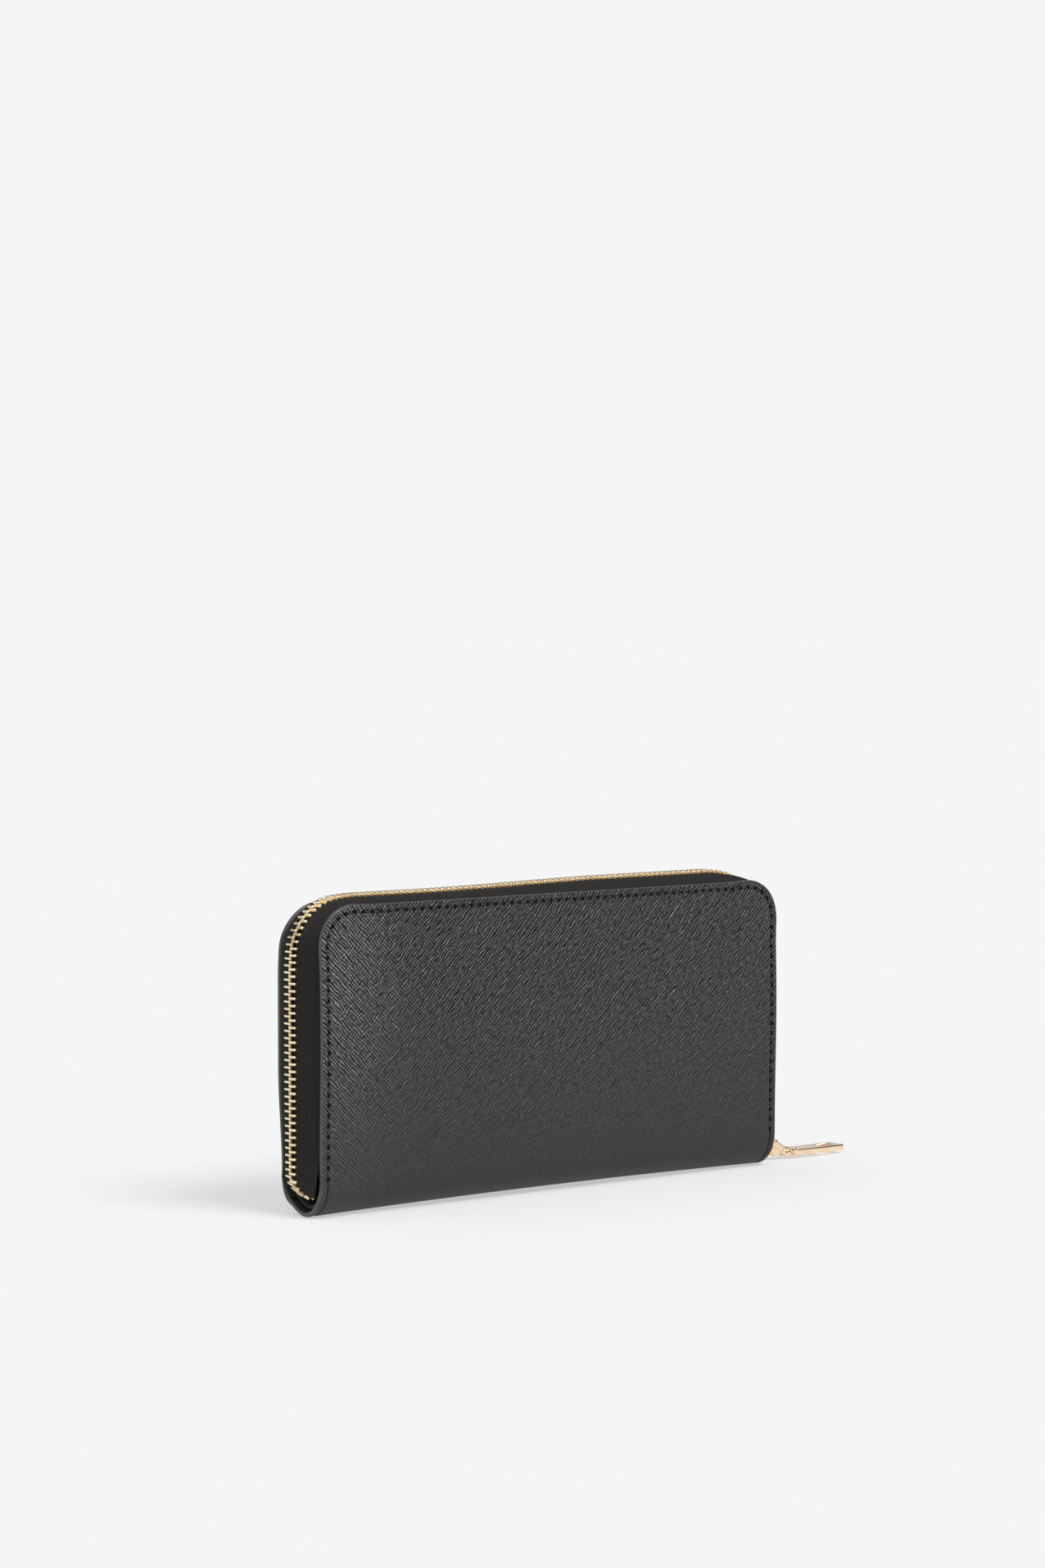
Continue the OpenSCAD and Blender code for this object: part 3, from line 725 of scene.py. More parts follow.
def cover_leather(side):
    """Outer leather of one half, from the middle of the base up, with painted edges and a sewing line."""
    form = sheet_form(HALF_W, 0.0, SHEET_TOP, CORNER_R, 0.0, 1.45, wrapped, round_r=0.45,
                      relief=leather_relief, inner_relief=board_pocket, finishes=(0, 1, 2))
    if side == "back":
        form.flat[:, 1] *= -1
    nodes = [side + "_leather"] + (["spine_leather", "spine_base"] if side == "front" else [])
    fit(side + "_outer_leather", [sided(form, side)], [LEATHER, PAINT, INSIDE], nodes)


BOARD_INSET = 3.3  # from the leather's edge to the board's
BOARD_DEPTHS = (0.97, 1.42)
LINING_INSET = 0.3  # from the leather's edge to the lining's
LINING_DEPTHS = (1.5, 2.0)


def cover_board(side):
    """Flat board with round top corners, between leather and lining."""
    form = sheet_form(HALF_W - BOARD_INSET, HINGE_Z + BOARD_INSET, TOP - BOARD_INSET, CORNER_R - BOARD_INSET,
                      *BOARD_DEPTHS, upright, round_r=0.1, fine=1.0, coarse=4.0)
    fit(side + "_stiff_board", [sided(form, side)], [BOARD], [side + "_board"], side + "_cover")


def cover_lining(side):
    """Lining of one half: the leather's outline a little further in, wrapped round the foot with it."""
    form = sheet_form(HALF_W - LINING_INSET, 9.0, SHEET_TOP - LINING_INSET, CORNER_R - LINING_INSET,
                      *LINING_DEPTHS, wrapped, round_r=0.2, fine=0.8, coarse=2.0)
    fit(side + "_inner_lining", [sided(form, side)], [LINING], [side + "_lining"])


def stitch_template(length, wide, high):
    """One stitch: a pill along the first axis with tapered ends that dip into their holes."""
    places = np.array([-0.5, -0.42, -0.2, 0.2, 0.42, 0.5]) * length
    size = np.array([0.45, 0.85, 1, 1, 0.85, 0.45])
    rings = ellipse_rings(places, wide * size, high * size, 6)
    dip = np.array([-0.32, -0.12, 0, 0, -0.12, -0.32])
    rings[:, :, 2] += dip[:, None]
    turn = np.arange(6) * 0.3
    return loft(rings, together(rings[:, :, 0], turn))


def cover_stitching(side):
    """Stitches along the edge route, STITCH_INSET in from the edge: at each one the tangent and the
    outline's normal lay it on the sheet, which is then wrapped."""
    s = (np.arange(2 * STITCH_COUNT) + 0.5) * STITCH_STEP
    place, normal = edge_route(s, -STITCH_INSET, STITCH_FROM, STITCH_FROM, top=SHEET_TOP - CORNER_R)
    (u, v), (out_u, out_v) = place.T, normal.T
    form = repeated(stitch_template(STITCH_STEP - 1.4, 0.25, 0.24), together(u, v, STITCH_DEPTH),
                    together(out_v, -out_u, 0), together(out_u, out_v, 0), together(0 * u, 0, -1))
    fit(side + "_edge_stitches", [sided(form.placed(wrapped), side)], [THREAD],
        [side + "_stitching"], side + "_cover")


# ---- spine

SPINE_LINING_R = (9.75, 8.85)  # outer and inner radius of the spine's lining
TAPE_FOOT_R = (8.3, 9.7)  # reach of the tape inside the spine and above it
TAPE_START = 1.25  # the tape's edge under the teeth, from the middle
TAPE_FLAT = 5.2  # where its slope begins
TAPE_DROP = 1.8  # how far the slope falls
FLANGE = 6.2  # depth of its sewn flange


def spine_lining():
    """U of lining inside the spine: an arc of 25 to 155 degrees below the hinge line, carried along X."""
    half = node_box("spine_lining")[1][0]
    angles = np.radians(np.linspace(25, 155, 40))
    outer_r, inner_r = SPINE_LINING_R
    bow = together(-np.cos(angles), -np.sin(angles))
    y, z = np.concatenate([bow * outer_r, bow[::-1] * inner_r]).T
    rings = together(stations(-half, half, 3.0)[:, None], y, z + HINGE_Z)
    way = np.concatenate([angles, angles[::-1]]) * outer_r
    form = loft(rings, together(rings[:, :, 0], way))
    fit("spine_inner_lining", [form.placed(settle)], [LINING], ["spine_lining"], "spine")


# ---- zip

def tape_reach(z):
    """How far from the middle the tape may go at a height, inside the spine's U."""
    below = np.clip(HINGE_Z - z, 0, 8)
    narrow, wide = TAPE_FOOT_R
    return np.sqrt(narrow ** 2 - below ** 2) + (wide - narrow) * smooth_step(z, 7.6, 11)


def tape_form():
    """Front tape: at each station a strip from under the teeth, first flat, then sloping to the cover and
    turning in as a sewn flange. In the curl and below the hinge line it has no slope and no flange."""
    s = stations(-CURL_LENGTH, ZIP_LENGTH, 1.6, (0, STRAIGHT_TOP - CURL_Z))
    place, normal = zip_route(s)
    z = place[:, 1]
    whole = smooth_step(z, 15, 21)[:, None]
    reach = tape_reach(z)[:, None]
    t_flat = np.linspace(0, 1, 5)[None, :-1]
    t_slope = np.linspace(0, 1, 9)[None, :-1]
    t_flange = np.linspace(0, 1, 5)[None, :]
    flat_end = np.minimum(TAPE_FLAT, reach - 1.0)
    end_out = CHAIN_MID - TAPE_DROP * smooth_step(z, 9, 21)[:, None]
    y = np.concatenate([TAPE_START + (flat_end - TAPE_START) * t_flat,
                        flat_end + (reach - flat_end) * t_slope,
                        reach + 0 * t_flange], axis=1)
    belly = 0.35 * np.sin(math.pi * t_slope) * whole
    out = np.concatenate([CHAIN_MID + 0 * (t_flat + flat_end),
                          CHAIN_MID + (end_out - CHAIN_MID) * t_slope + belly,
                          end_out - FLANGE * t_flange * whole - 0.3 * t_flange], axis=1)
    dy, dn = np.gradient(y, axis=1), np.gradient(out, axis=1)
    size = np.hypot(dy, dn)
    half = 0.3 * np.ones(y.shape[1])
    half[-4:] = 0.22
    shift_y, shift_n = -dn / size * half, dy / size * half
    ring_y = np.concatenate([y + shift_y, (y - shift_y)[:, ::-1]], axis=1)
    ring_n = np.concatenate([out + shift_n, (out - shift_n)[:, ::-1]], axis=1) - CHAIN_MID
    rings = together(place[:, None, 0] + ring_n * normal[:, None, 0], -ring_y,
                     place[:, None, 1] + ring_n * normal[:, None, 1])
    way = np.cumsum(np.hypot(np.diff(y, axis=1, prepend=y[:, :1]), np.diff(out, axis=1, prepend=out[:, :1])),
                    axis=1)
    return loft(rings, together(s[:, None], np.concatenate([way, way[:, ::-1]], axis=1)))


def cover_tape(side):
    """One side's tape, with the zip's sway."""
    form = sided(tape_form(), side).placed(sway)
    nodes = [side + "_tape"] + ([] if side == "back" else ["tape_end_left", "tape_end_right"])
    fit(side + "_zip_tape", [form], [TAPE], nodes)


TOOTH_SECTION = np.array([(1, 0.72), (0.6, 1), (-0.6, 1), (-1, 0.72), (-1, -0.72), (-0.6, -1), (0.6, -1),
                          (1, -0.72)])


def tooth_template(reach, tip, along, high):
    """One tooth, from the end of its legs over the tape to the tip of its head: chamfered sections whose
    size follows legs, neck and head. First axis away from the middle, second along the chain."""
    places = np.array([1.0, 0.92, 0.6, 0.3, 0.08, 0.0])[:, None] * (reach - 0.3) + 0.3
    places = np.concatenate([places, [[-tip * 0.6], [-tip]]])
    wide = np.array([0.6, 0.95, 1, 1, 1, 1.3, 1.4, 1.25])[:, None] * along / 2
    tall = np.array([0.6, 0.94, 1, 1, 1, 1, 0.95, 0.8])[:, None] * high / 2
    return loft(together(places, wide * TOOTH_SECTION[:, 0], tall * TOOTH_SECTION[:, 1]))


def cover_teeth(side):
    """Teeth at equal steps along the zip's route; the back's sit half a step further on."""
    count = int((ZIP_LENGTH + CURL_LENGTH - 2) / TOOTH_PITCH)
    phase = 0.25 if side == "front" else 0.75
    s = -CURL_LENGTH + 1 + (np.arange(count) + phase) * TOOTH_PITCH
    place, normal = zip_route(s)
    (x, z), (out_x, out_z) = (place + normal * TEETH_OUT).T, normal.T
    form = repeated(tooth_template(CHAIN_HALF - 0.25, 0.3, 0.84, 2.1), together(x, 0, z),
                    together(0 * x, -1, 0), together(out_z, 0, -out_x), together(out_x, 0, out_z))
    nodes = [side + "_teeth", side + "_teeth_right"]
    nodes += ["teeth_end_left", "teeth_end_right"] if side == "front" else []
    fit(side + "_zip_teeth", [sided(form, side).placed(sway)], [TEETH], nodes,
        sharp=TEETH_SHARP)


def block(low, high, chamfer):
    """Box with chamfered edges: four rings along Z, the end ones smaller by the chamfer."""
    low, high = np.array(low, float), np.array(high, float)
    centre, half = (low + high) / 2, (high - low) / 2
    rings = []
    for z, inset in ((-1, chamfer), (-1, 0), (1, 0), (1, chamfer)):
        x, y = half[0] - inset, half[1] - inset
        c = chamfer
        ring = [(x, -y + c), (x, y - c), (x - c, y), (-x + c, y), (-x, y - c), (-x, -y + c), (-x + c, -y),
                (x - c, -y)]
        rings.append(together(*np.transpose(ring), z * (half[2] - chamfer + inset)))
    return loft(rings).placed(lambda points: points + centre)


def zip_stops():
    """Bottom stop across the curled end, and a small stop on each tape's other end."""
    low, _ = node_box("zip_stops")
    place, normal = zip_route(np.array([-CURL_LENGTH]))
    nx, nz = normal[0]

    def at_curl(points):
        """Laid across the end of the curl: its first axis goes along the curl's outward normal."""
        a, y, b = points.T
        return together(place[0, 0] + a * nx - b * nz, y, place[0, 1] + a * nz + b * nx)

    stop = block((-1.2, -CHAIN_HALF, -0.7), (1.2, CHAIN_HALF, 0.7), 0.25)
    forms = [stop.placed(at_curl).placed(settle).placed(sway)]
    x = HALF_W + CHAIN_MID
    for side in (-1, 1):
        y = sorted((side * 1.2, side * 2.8))
        forms.append(block((x - 0.9, y[0], low[2]), (x + 0.9, y[1], low[2] + 1.25), 0.25))
    fit("zip_end_stops", forms, [TEETH], ["zip_stops"], "spine")


# ---- slider, link and puller

def prism(outline, low, high, axis, hole=None):
    """Outline of points carried from low to high along one axis. With a hole of as many points, both ends
    are bands between the outline and the hole."""
    loops = [np.asarray(loop, float) for loop in (outline, hole) if loop is not None]
    points = np.concatenate([np.insert(loop, axis, level, axis=1) for level in (low, high) for loop in loops])
    count = len(outline)
    k = np.arange(count)
    n = (k + 1) % count
    if hole is None:
        faces = [together(k, n, n + count, k + count), k[None, ::-1], (k + count)[None]]
    else:
        b, c, d = count, 2 * count, 3 * count
        faces = [together(k, n, n + c, k + c), together(n + b, k + b, k + d, n + d),
                 together(n, k, k + b, n + b), together(k + c, n + c, n + d, k + d)]
    return Form(points, faces)


def arc(centre, radius, start, end, count):
    """Points on a circle from start to end degrees."""
    angles = np.radians(np.linspace(start, end, count))
    return together(centre[0] + radius * np.cos(angles), centre[1] + radius * np.sin(angles))


def round_box(low, high, radius, steps=6):
    """Rectangle outline with round corners, anticlockwise."""
    (x0, y0), (x1, y1) = low, high
    corners = (((x1 - radius, y0 + radius), -90), ((x1 - radius, y1 - radius), 0),
               ((x0 + radius, y1 - radius), 90), ((x0 + radius, y0 + radius), 180))
    return np.concatenate([arc(centre, radius, start, start + 90, steps) for centre, start in corners])


def rod(start, end, radius, sides=24, round_end=0.15):
    """Round bar between two points with softly rounded ends."""
    start, end = np.array(start, float), np.array(end, float)
    length = np.linalg.norm(end - start)
    axis = (end - start) / length
    side = np.cross(axis, [0.0, 0.0, 1.0] if abs(axis[2]) < 0.9 else [1.0, 0.0, 0.0])
    side /= np.linalg.norm(side)
    other = np.cross(axis, side)
    places = np.array([0, round_end * 0.35, round_end, length - round_end, length - round_end * 0.35, length])
    radii = radius - np.array([1, 0.35, 0, 0, 0.35, 1]) * round_end
    turn = (np.arange(sides) + 0.5) * TURN / sides
    rings = (start + places[:, None, None] * axis + radii[:, None, None]
             * (np.cos(turn)[None, :, None] * side + np.sin(turn)[None, :, None] * other))
    return loft(rings)


CHAIN_X = HALF_W + CHAIN_MID
SLIDER_LOW, SLIDER_HIGH = node_box("slider_body")
PLATE_T = 1.4
LINK_BAR = (103.0, 6.3)  # X and Z of the link's cross bar
PULL_PIN = (109.6, 2.1)  # X and Z of the puller's pin
LINK_HALF = 2.5


def slider():
    """Two shield-shaped plates joined by a post, with walls that leave a slot for the tape."""
    half, low, high = SLIDER_HIGH[1], SLIDER_LOW[2], SLIDER_HIGH[2]
    shield = np.concatenate([arc((half - 2.6, low + 2.4), 2.4, -90, 0, 7) + [0.2, 0],
                             arc((half - 3.0, high - 2.6), 2.6, 0, 80, 7) + [0.2, 0]])
    shield = np.concatenate([shield, shield[::-1] * [-1, 1]])
    under = shield * [0.85, 1]
    forms = [prism(under, SLIDER_LOW[0], SLIDER_LOW[0] + PLATE_T, 0),
             prism(shield, SLIDER_HIGH[0] - PLATE_T, SLIDER_HIGH[0], 0)]
    inner, outer = SLIDER_LOW[0] + PLATE_T, SLIDER_HIGH[0] - PLATE_T
    for sign in (-1, 1):
        y = sorted((sign * (half - 1.3), sign * (half - 0.02)))
        z = (low + 1.6, high - 1.6)
        y_under = sorted((sign * (half * 0.85 - 1.2), sign * (half * 0.85 - 0.02)))
        forms.append(block((inner - 0.1, y_under[0], z[0]), (CHAIN_X - 0.45, y_under[1], z[1]), 0.12))
        forms.append(block((CHAIN_X + 0.45, y[0], z[0]), (outer + 0.1, y[1], z[1]), 0.12))
    post = np.array([(-1, 0.6), (1, 0.6), (1, 2.2), (0, 3.6), (-1, 2.2)]) + [0, low]
    forms.append(prism(post, inner - 0.1, outer + 0.1, 0))
    fit("slider_shell", forms, [ROSE], ["slider_body"], "slider", rounding=(0.35, 3))


def crown():
    """Two lugs, each a tab from the plate that ends round the link's bar."""
    x0 = SLIDER_HIGH[0]
    cx, cz = LINK_BAR
    tab = np.concatenate([[(x0 - 0.2, cz - 2.0), (x0 + 0.6, cz - 1.4)], arc((cx, cz), 1.15, -80, 65, 14),
                          [(x0 + 0.6, cz + 1.5), (x0 - 0.2, cz + 1.9)]])
    forms = [prism(tab, *sorted((sign * 2.65, sign * 3.65)), 1) for sign in (-1, 1)]
    fit("slider_lugs", forms, [ROSE], ["slider_crown"], "slider", rounding=(0.3, 3))


def link():
    """Link: a flat bar from its cross bar down to two ears round the pin, and a hood below it."""
    cx, cz = LINK_BAR
    px, pz = PULL_PIN
    dip = math.atan2(cz - pz, px - cx)
    length = math.hypot(cz - pz, px - cx)

    def turned(outline):
        """From (along the link, above it) to X and Z."""
        a, b = np.asarray(outline, float).T
        along, down = math.cos(dip), math.sin(dip)
        return together(cx + a * along + b * down, cz - a * down + b * along)

    h = 1.15
    bar = np.concatenate([arc((0, 0), h, 90, 270, 12), [(length - 2.5, -h), (length - 2.5, h)]])
    root = length - 2.9
    ear = np.concatenate([[(root, -h)], arc((length, -0.1), h + 0.2, -90, 90, 12), [(root, h)]])
    hood = [(0.5, -h + 0.3), (0.8, -2.6), (2.0, -3.4), (3.6, -3.75), (5.0, -3.0), (length - 2.4, -h + 0.3)]
    forms = [prism(turned(bar), -LINK_HALF, LINK_HALF, 1),
             prism(turned(hood), -LINK_HALF + 0.5, LINK_HALF - 0.5, 1)]
    for sign in (-1, 1):
        low, high = sorted((sign * (LINK_HALF - 1.1), sign * LINK_HALF))
        forms.append(prism(turned(ear), low, high, 1))
    forms.append(rod((cx, -3.7, cz), (cx, 3.7, cz), 0.8))
    fit("pull_link_bar", forms, [ROSE], ["pull_link"], "link", rounding=(0.4, 3))


def pull_pin():
    """Round pin across the link's ears."""
    px, pz = PULL_PIN
    pin = rod((px, -2.95, pz), (px, 2.95, pz), 0.95, round_end=0.2)
    fit("pull_rivet", [pin], [ROSE], ["pull_pin"], "link")


def puller():
    """Puller: a tongue round the pin, a barrel, and a flat bar with a rectangular window."""
    _, high = node_box("puller")
    px, pz = PULL_PIN
    half = high[1]
    bar_x, far = px + 2.25, high[0] + 0.6
    bar_z = pz - 0.1
    window_x, window_half = (far - 9.6, far - 3.8), 2.1
    tongue = np.concatenate([arc((px, pz), 1.3, 60, 300, 16),
                             [(bar_x + 1, bar_z - 1), (bar_x + 1, bar_z + 1)]])
    outline = round_box((bar_x + 0.3, -half), (far, half), 0.9)
    window = round_box((window_x[0], -window_half), (window_x[1], window_half), 0.35)
    barrel = bar_z + 0.75
    forms = [prism(tongue, -1.15, 1.15, 1), rod((bar_x, -half, barrel), (bar_x, half, barrel), 0.95),
             prism(outline, bar_z - 1.0, bar_z + 1.0, 2, window)]
    fit("pull_tab", forms, [ROSE], ["puller"], "pull", rounding=(0.55, 4))


# ---- inside

def flat_sheet(half_w, low, high, corner, coarse, fine=0.6, **more):
    """Upright sheet between the heights and depths of two corners of a box."""
    return sheet_form(half_w, low[2], high[2], corner, HALF_T + low[1], HALF_T + high[1], upright,
                      round_r=0.15, fine=fine, coarse=coarse, **more)


def card_panel(side):
    """Backing sheet behind one side's card slots."""
    low, high = node_box("front_card_panel")
    form = flat_sheet(high[0], low, high, 10.0, 2.5)
    fit(side + "_card_backing", [sided(form, side)], [INSIDE], [side + "_card_panel"],
        side + "_cover")


CARD_HALF = 42.0  # half the width of one card slot


def mouth_crease(top):
    """A pressed line below the slot's mouth, and a slight swell where a card would sit."""
    def relief(u, v, distance):
        return 0.1 * smooth_step(distance, 2, 9) - 0.09 * bump(top - v, 2.0, 0.35)
    return relief


def card_row(side, row):
    """One row of card slots: two leather sheets side by side, one for each column of cards."""
    low, high = node_box("front_card_row_%d" % row)
    half = CARD_HALF
    forms = [sided(flat_sheet(half, low, high, 1.5, 2.0, fine=0.5, fine_width=3.0, centre=centre,
                              inner_relief=mouth_crease(high[2]), finishes=(0, 1, 0)), side)
             for centre in (high[0] - half, low[0] + half)]
    fit("%s_card_slots_%d" % (side, row), forms, [INSIDE, PAINT],
        ["%s_card_row_%d" % (side, row)], side + "_cover")


def coin_wall(side):
    """One wall of the coin pocket."""
    low, high = node_box("coin_wall_front")
    form = flat_sheet(high[0], low, high, 2.0, 2.2)
    fit(side + "_coin_wall", [sided(form, side)], [LINING], ["coin_wall_" + side], "spine")


def left_of(line):
    """Unit directions to the left of a line of points: its gradient turned by 90 degrees."""
    step = np.gradient(line, axis=0)
    return together(-step[:, 1], step[:, 0]) / np.linalg.norm(step, axis=1)[:, None]


def run_along(line):
    """Distance along a line at each of its points."""
    return np.concatenate([[0], np.cumsum(np.linalg.norm(np.diff(line, axis=0), axis=1))])


def thickened(line, thick):
    """Closed ring round a line, half of thick to each side, and the distance along the line at each of
    its points."""
    line = np.asarray(line, float)
    shift = left_of(line) * thick / 2
    way = run_along(line)
    return np.concatenate([line + shift, (line - shift)[::-1]]), np.concatenate([way, way[::-1]])


def strip_along(route, inward, half_wide, thick, fold):
    """Strip carried along a route in X and Z: across the strip it is folded inward by
    fold cos(pi y / 2 half_wide)."""
    y = np.linspace(-half_wide, half_wide, 11)
    dip = fold * np.cos(math.pi * y / (2 * half_wide))
    ring_y = np.concatenate([y, y[::-1]])
    ring_n = np.concatenate([dip, dip[::-1] + thick])
    rings = together(route[:, None, 0] + ring_n * inward[:, None, 0], ring_y,
                     route[:, None, 1] + ring_n * inward[:, None, 1])
    return loft(rings, together(run_along(route)[:, None], ring_y))


def coin_gusset():
    """Strip down one end of the coin pocket, along its foot and up the other end, with round corners."""
    low, high = node_box("coin_gusset")
    r = 3.0
    x, foot, top = high[0], low[2], high[2]
    corner = arc((-x + r, foot + r), r, 180, 270, 9)
    half_route = np.concatenate([together(-x, np.linspace(top, foot + r, 31)[:-1]), corner])
    route = np.concatenate([half_route, half_route[::-1] * [-1, 1]])
    form = strip_along(route, left_of(route), high[1] - 0.05, 0.35, 0.9)
    fit("coin_pocket_gusset", [form.placed(settle)], [LINING], ["coin_gusset"], "spine")


COIN_LOW, COIN_HIGH = node_box("coin_teeth")
COIN_Z = (COIN_LOW[2] + COIN_HIGH[2]) / 2
COIN_SLIDER_LOW, COIN_SLIDER_HIGH = node_box("coin_slider")
COIN_PLATE = 0.8  # thickness of the coin slider's plates
COIN_UPPER = COIN_Z + 1.05  # underside of its upper plate
COIN_PIVOT = ((COIN_SLIDER_LOW[0] + COIN_SLIDER_HIGH[0]) / 2 - 2, COIN_UPPER + COIN_PLATE + 1.2)


def coin_tape(side):
    """Tape of the coin zip: up the pocket's wall, round a bend, and flat to under the teeth."""
    low, high = node_box("coin_tape_front")
    y_wall = low[1] + 0.2
    section = np.concatenate([together(y_wall, np.linspace(low[2], COIN_Z - 0.9, 8)),
                              arc((y_wall + 0.8, COIN_Z - 0.8), 0.8, 180, 90, 6),
                              [(-1.6, COIN_Z), (-0.75, COIN_Z)]])
    ring, way = thickened(section, 0.3)
    x = stations(low[0], high[0], 2.5)[:, None]
    form = loft(together(x, ring[:, 0], ring[:, 1]), together(x, way))
    fit(side + "_coin_tape", [form if side == "front" else form.mirrored(1)], [TAPE],
        ["coin_tape_" + side], "spine")


def coin_teeth():
    """Small teeth of both sides, half a step apart."""
    step = 1.9
    count = int((COIN_HIGH[0] - COIN_LOW[0]) / step)
    forms = []
    for sign, phase in ((-1, 0.25), (1, 0.75)):
        x = COIN_LOW[0] + 0.375 + (np.arange(count) + phase - 0.25) * step
        forms.append(repeated(tooth_template(1.8, 0.25, 0.78, 1.5), together(x, 0, COIN_Z),
                              together(0 * x, sign, 0), together(0 * x + 1, 0, 0), together(0 * x, 0, 1)))
    fit("coin_zip_teeth", forms, [TEETH], ["coin_teeth"], "spine", sharp=TEETH_SHARP)


def coin_stops():
    """A metal stop across each end of the coin zip."""
    low, high = node_box("coin_stops")
    forms = [block((x - 0.7, low[1], low[2]), (x + 0.7, high[1], high[2]), 0.25)
             for x in (low[0] + 0.7, high[0] - 0.7)]
    fit("coin_zip_stops", forms, [TEETH], ["coin_stops"], "spine")


def coin_slider():
    """Small slider: two plates, a post, side walls and a crown with a pin."""
    x0, x1 = COIN_SLIDER_LOW[0], COIN_SLIDER_HIGH[0]
    pivot_x, pivot_z = COIN_PIVOT
    base = COIN_UPPER + COIN_PLATE - 0.1
    forms = [prism(round_box((x0, -half), (x1, half), 1.6), z, z + COIN_PLATE, 2)
             for z, half in ((COIN_UPPER, 2.9), (COIN_Z - 1.05 - COIN_PLATE, 2.4))]
    forms.append(block((x1 - 1.6, -0.5, COIN_Z - 1.1), (x1 - 0.4, 0.5, COIN_Z + 1.1), 0.1))
    for sign in (-1, 1):
        y = sorted((sign * 2.4, sign * 2.88))
        forms.append(block((x0 + 1, y[0], COIN_Z + 0.35), (x1 - 1, y[1], COIN_UPPER + 0.1), 0.08))
        tab = np.concatenate([[(pivot_x - 1.2, base), (pivot_x + 1.2, base)],
                              arc(COIN_PIVOT, 1.0, 0, 180, 12)])
        forms.append(prism(tab, *sorted((sign * 1.3, sign * 1.9)), 1))
    forms.append(rod((pivot_x, -2.0, pivot_z), (pivot_x, 2.0, pivot_z), 0.45, sides=16, round_end=0.1))
    fit("coin_zip_slider", forms, [TEETH], ["coin_slider"], "coin_slider", rounding=(0.15, 2))


def coin_puller():
    """Small puller: an eye round the pin and a flat tab with a slot."""
    low, high = node_box("coin_puller")
    x, z = COIN_PIVOT
    eye = np.concatenate([arc((x, z), 0.95, -150, 150, 16), [(x - 2.4, z + 0.45), (x - 2.4, z - 0.45)]])
    tab = round_box((low[0], low[1]), (x - 2.1, high[1]), 0.9)
    slot = round_box((low[0] + 1.2, -0.8), (x - 3.4, 0.8), 0.4)
    forms = [prism(eye, -1.1, 1.1, 1), prism(tab, z - 0.45, z + 0.45, 2, slot)]
    fit("coin_zip_tab", forms, [TEETH], ["coin_puller"], "coin_pull", rounding=(0.15, 2))


FLANGE_X = 81.0  # where the gussets' sewn flanges end


def side_gusset(side, end):
    """Pleat between the coin pocket and the card slots, folded towards the middle of the wallet, with a
    sewn flange on each: one line of (x, y) carried up the pocket's height."""
    low, high = node_box("gusset_front_right")
    y0, y1 = -high[1], -low[1]
    middle = (y0 + y1) / 2
    r = 0.55
    line = np.concatenate([
        together(np.linspace(FLANGE_X, high[0] - r, 10), y0)[:-1],
        arc((high[0] - r, y0 + r), r, -90, 50, 7),
        arc((low[0] + r, middle), 0.3, 250, 110, 7),
        arc((high[0] - r, y1 - r), r, -50, 90, 7),
        together(np.linspace(high[0] - r, FLANGE_X, 10), y1)[1:]])
    ring, way = thickened(line, 0.3)
    z = stations(low[2], high[2], 2.5)[:, None]
    form = loft(together(end * ring[:, 0], -ring[:, 1], z), together(way, z))
    name = "%s_%s" % (side, "right" if end > 0 else "left")
    fit("side_pleat_" + name, [sided(form, side)], [LINING], ["gusset_" + name])


# ---- studio

def camera():
    """Camera at the left front, a little above the wallet's top, looking slightly down."""
    lens = bpy.data.cameras.new("camera")
    lens.lens = 90.15
    lens.sensor_width = 36
    lens.clip_start = 0.01
    thing = bpy.data.objects.new("camera", lens)
    thing.location = (-0.8021, -1.0012, 0.1959)
    thing.rotation_euler = (math.radians(90 - 2.81), 0, math.radians(-38.5))
    bpy.context.scene.collection.objects.link(thing)
    bpy.context.scene.camera = thing


def soft_light(name, toward_light, spread, strength):
    """Broad, even light from one direction."""
    lamp = bpy.data.lights.new(name, "SUN")
    lamp.angle = math.radians(spread)
    lamp.energy = strength
    thing = bpy.data.objects.new(name, lamp)
    thing.rotation_euler = (-Vector(toward_light)).to_track_quat("-Z", "Y").to_euler()
    bpy.context.scene.collection.objects.link(thing)


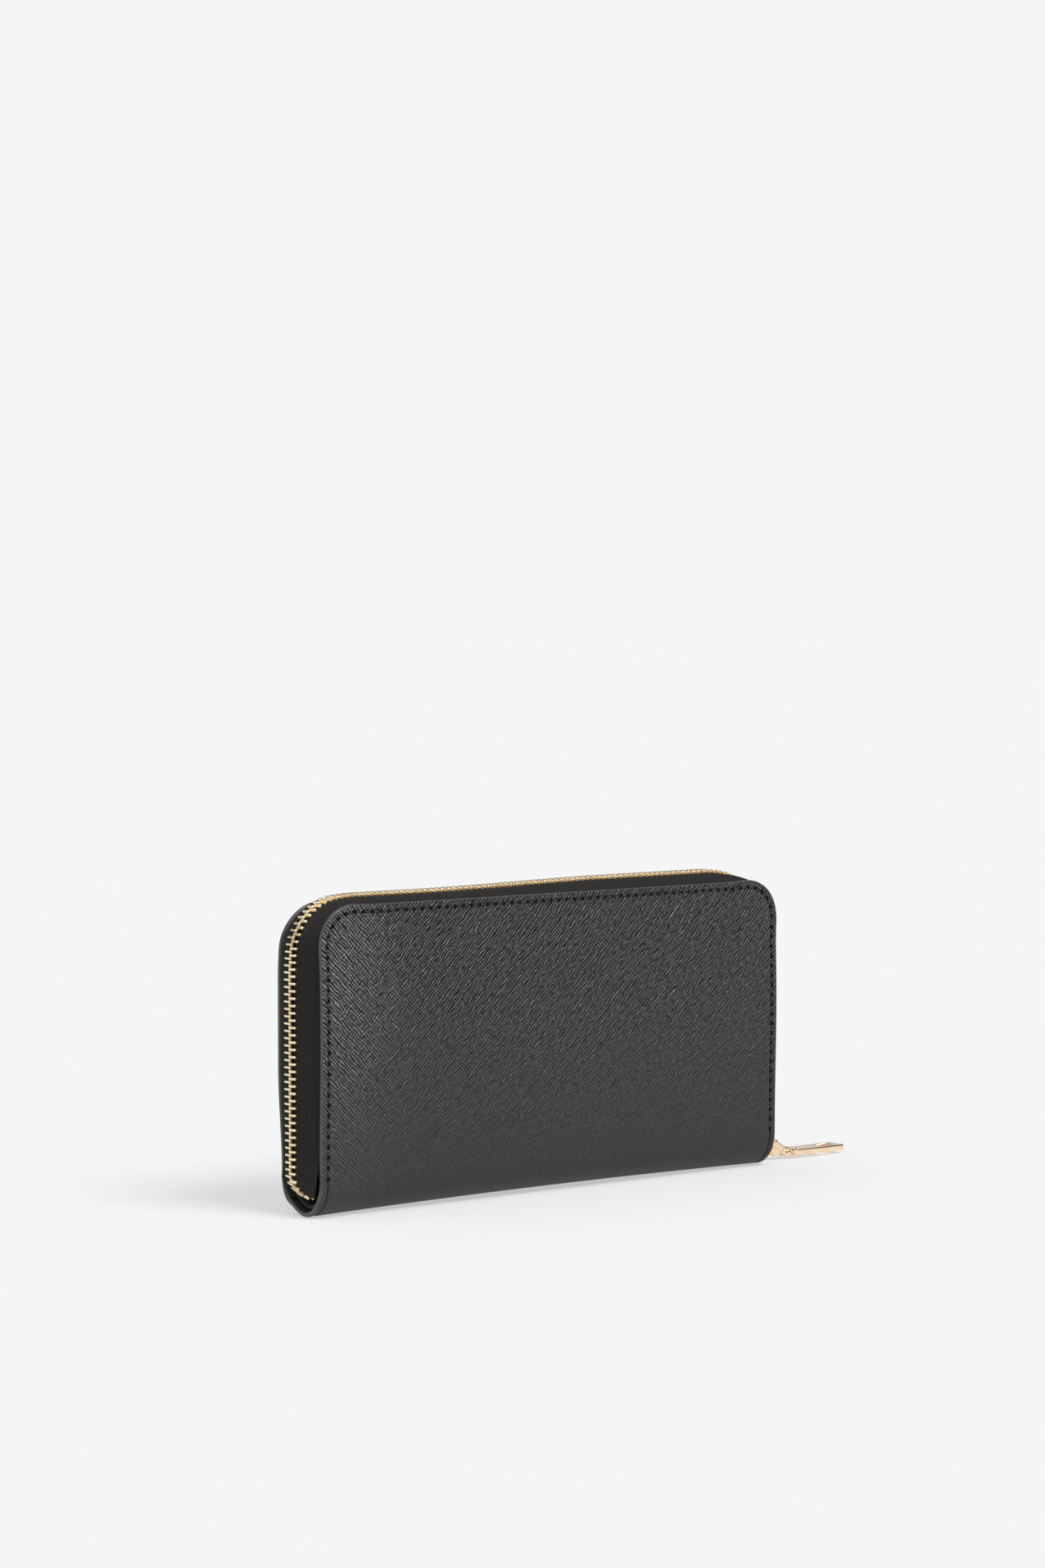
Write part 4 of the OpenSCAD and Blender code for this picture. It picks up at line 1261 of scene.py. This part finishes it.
def studio_world():
    """Even pale backdrop for the camera. Everything else is lit by a dome: bright low down behind the
    wallet, dark round the middle heights, and bright overhead."""
    world = bpy.data.worlds.new("studio")
    world.use_nodes = True
    tree = world.node_tree
    place = tree.nodes.new("ShaderNodeTexCoord")
    split = tree.nodes.new("ShaderNodeSeparateXYZ")
    tree.links.new(place.outputs["Generated"], split.inputs[0])
    x, y, z = (Value(tree, output) for output in split.outputs)
    low = (1 - z * 2.2).at_least(0.0)
    behind = (y * 1.5 + 0.4).at_least(0.0).at_most(1.0)
    left = (0.2 - x).at_least(0.0).at_most(1.0)
    overhead = (z - 0.45).at_least(0.0) * (0.75 - x).at_least(0.0) * 2.6
    dome = low * behind * 0.8 + overhead + left * low * 0.35 + DOME_LOW
    seen = Value(tree, tree.nodes.new("ShaderNodeLightPath").outputs["Is Camera Ray"])
    background = tree.nodes["Background"]
    background.inputs["Color"].default_value = (1, 1, 1, 1)
    connect(tree, background.inputs["Strength"], seen * BACKDROP + (1 - seen) * dome)
    return world


def studio():
    """Pale floor under a pale sky, with one broad lamp at the front above."""
    scene = bpy.context.scene
    scene.view_settings.view_transform = "Standard"
    scene.world = studio_world()
    soft_light("key", (0.15, -0.6, 0.8), 28, 2.2)
    half = 12.0
    mesh = bpy.data.meshes.new("floor")
    mesh.from_pydata([(x * half, y * half, -0.0001) for x, y in ((-1, -1), (1, -1), (1, 1), (-1, 1))],
                     [], [(0, 1, 2, 3)])
    mesh.materials.append(studio_floor())
    floor = bpy.data.objects.new("floor", mesh)
    scene.collection.objects.link(floor)


camera()
studio()
spine_lining()
for side in ("front", "back"):
    cover_leather(side)
    cover_board(side)
    cover_lining(side)
    cover_stitching(side)
    cover_tape(side)
    cover_teeth(side)
    card_panel(side)
    for row in (1, 2, 3):
        card_row(side, row)
    coin_wall(side)
    coin_tape(side)
    for end in (-1, 1):
        side_gusset(side, end)
zip_stops()
slider()
crown()
link()
pull_pin()
puller()
coin_gusset()
coin_teeth()
coin_stops()
coin_slider()
coin_puller()
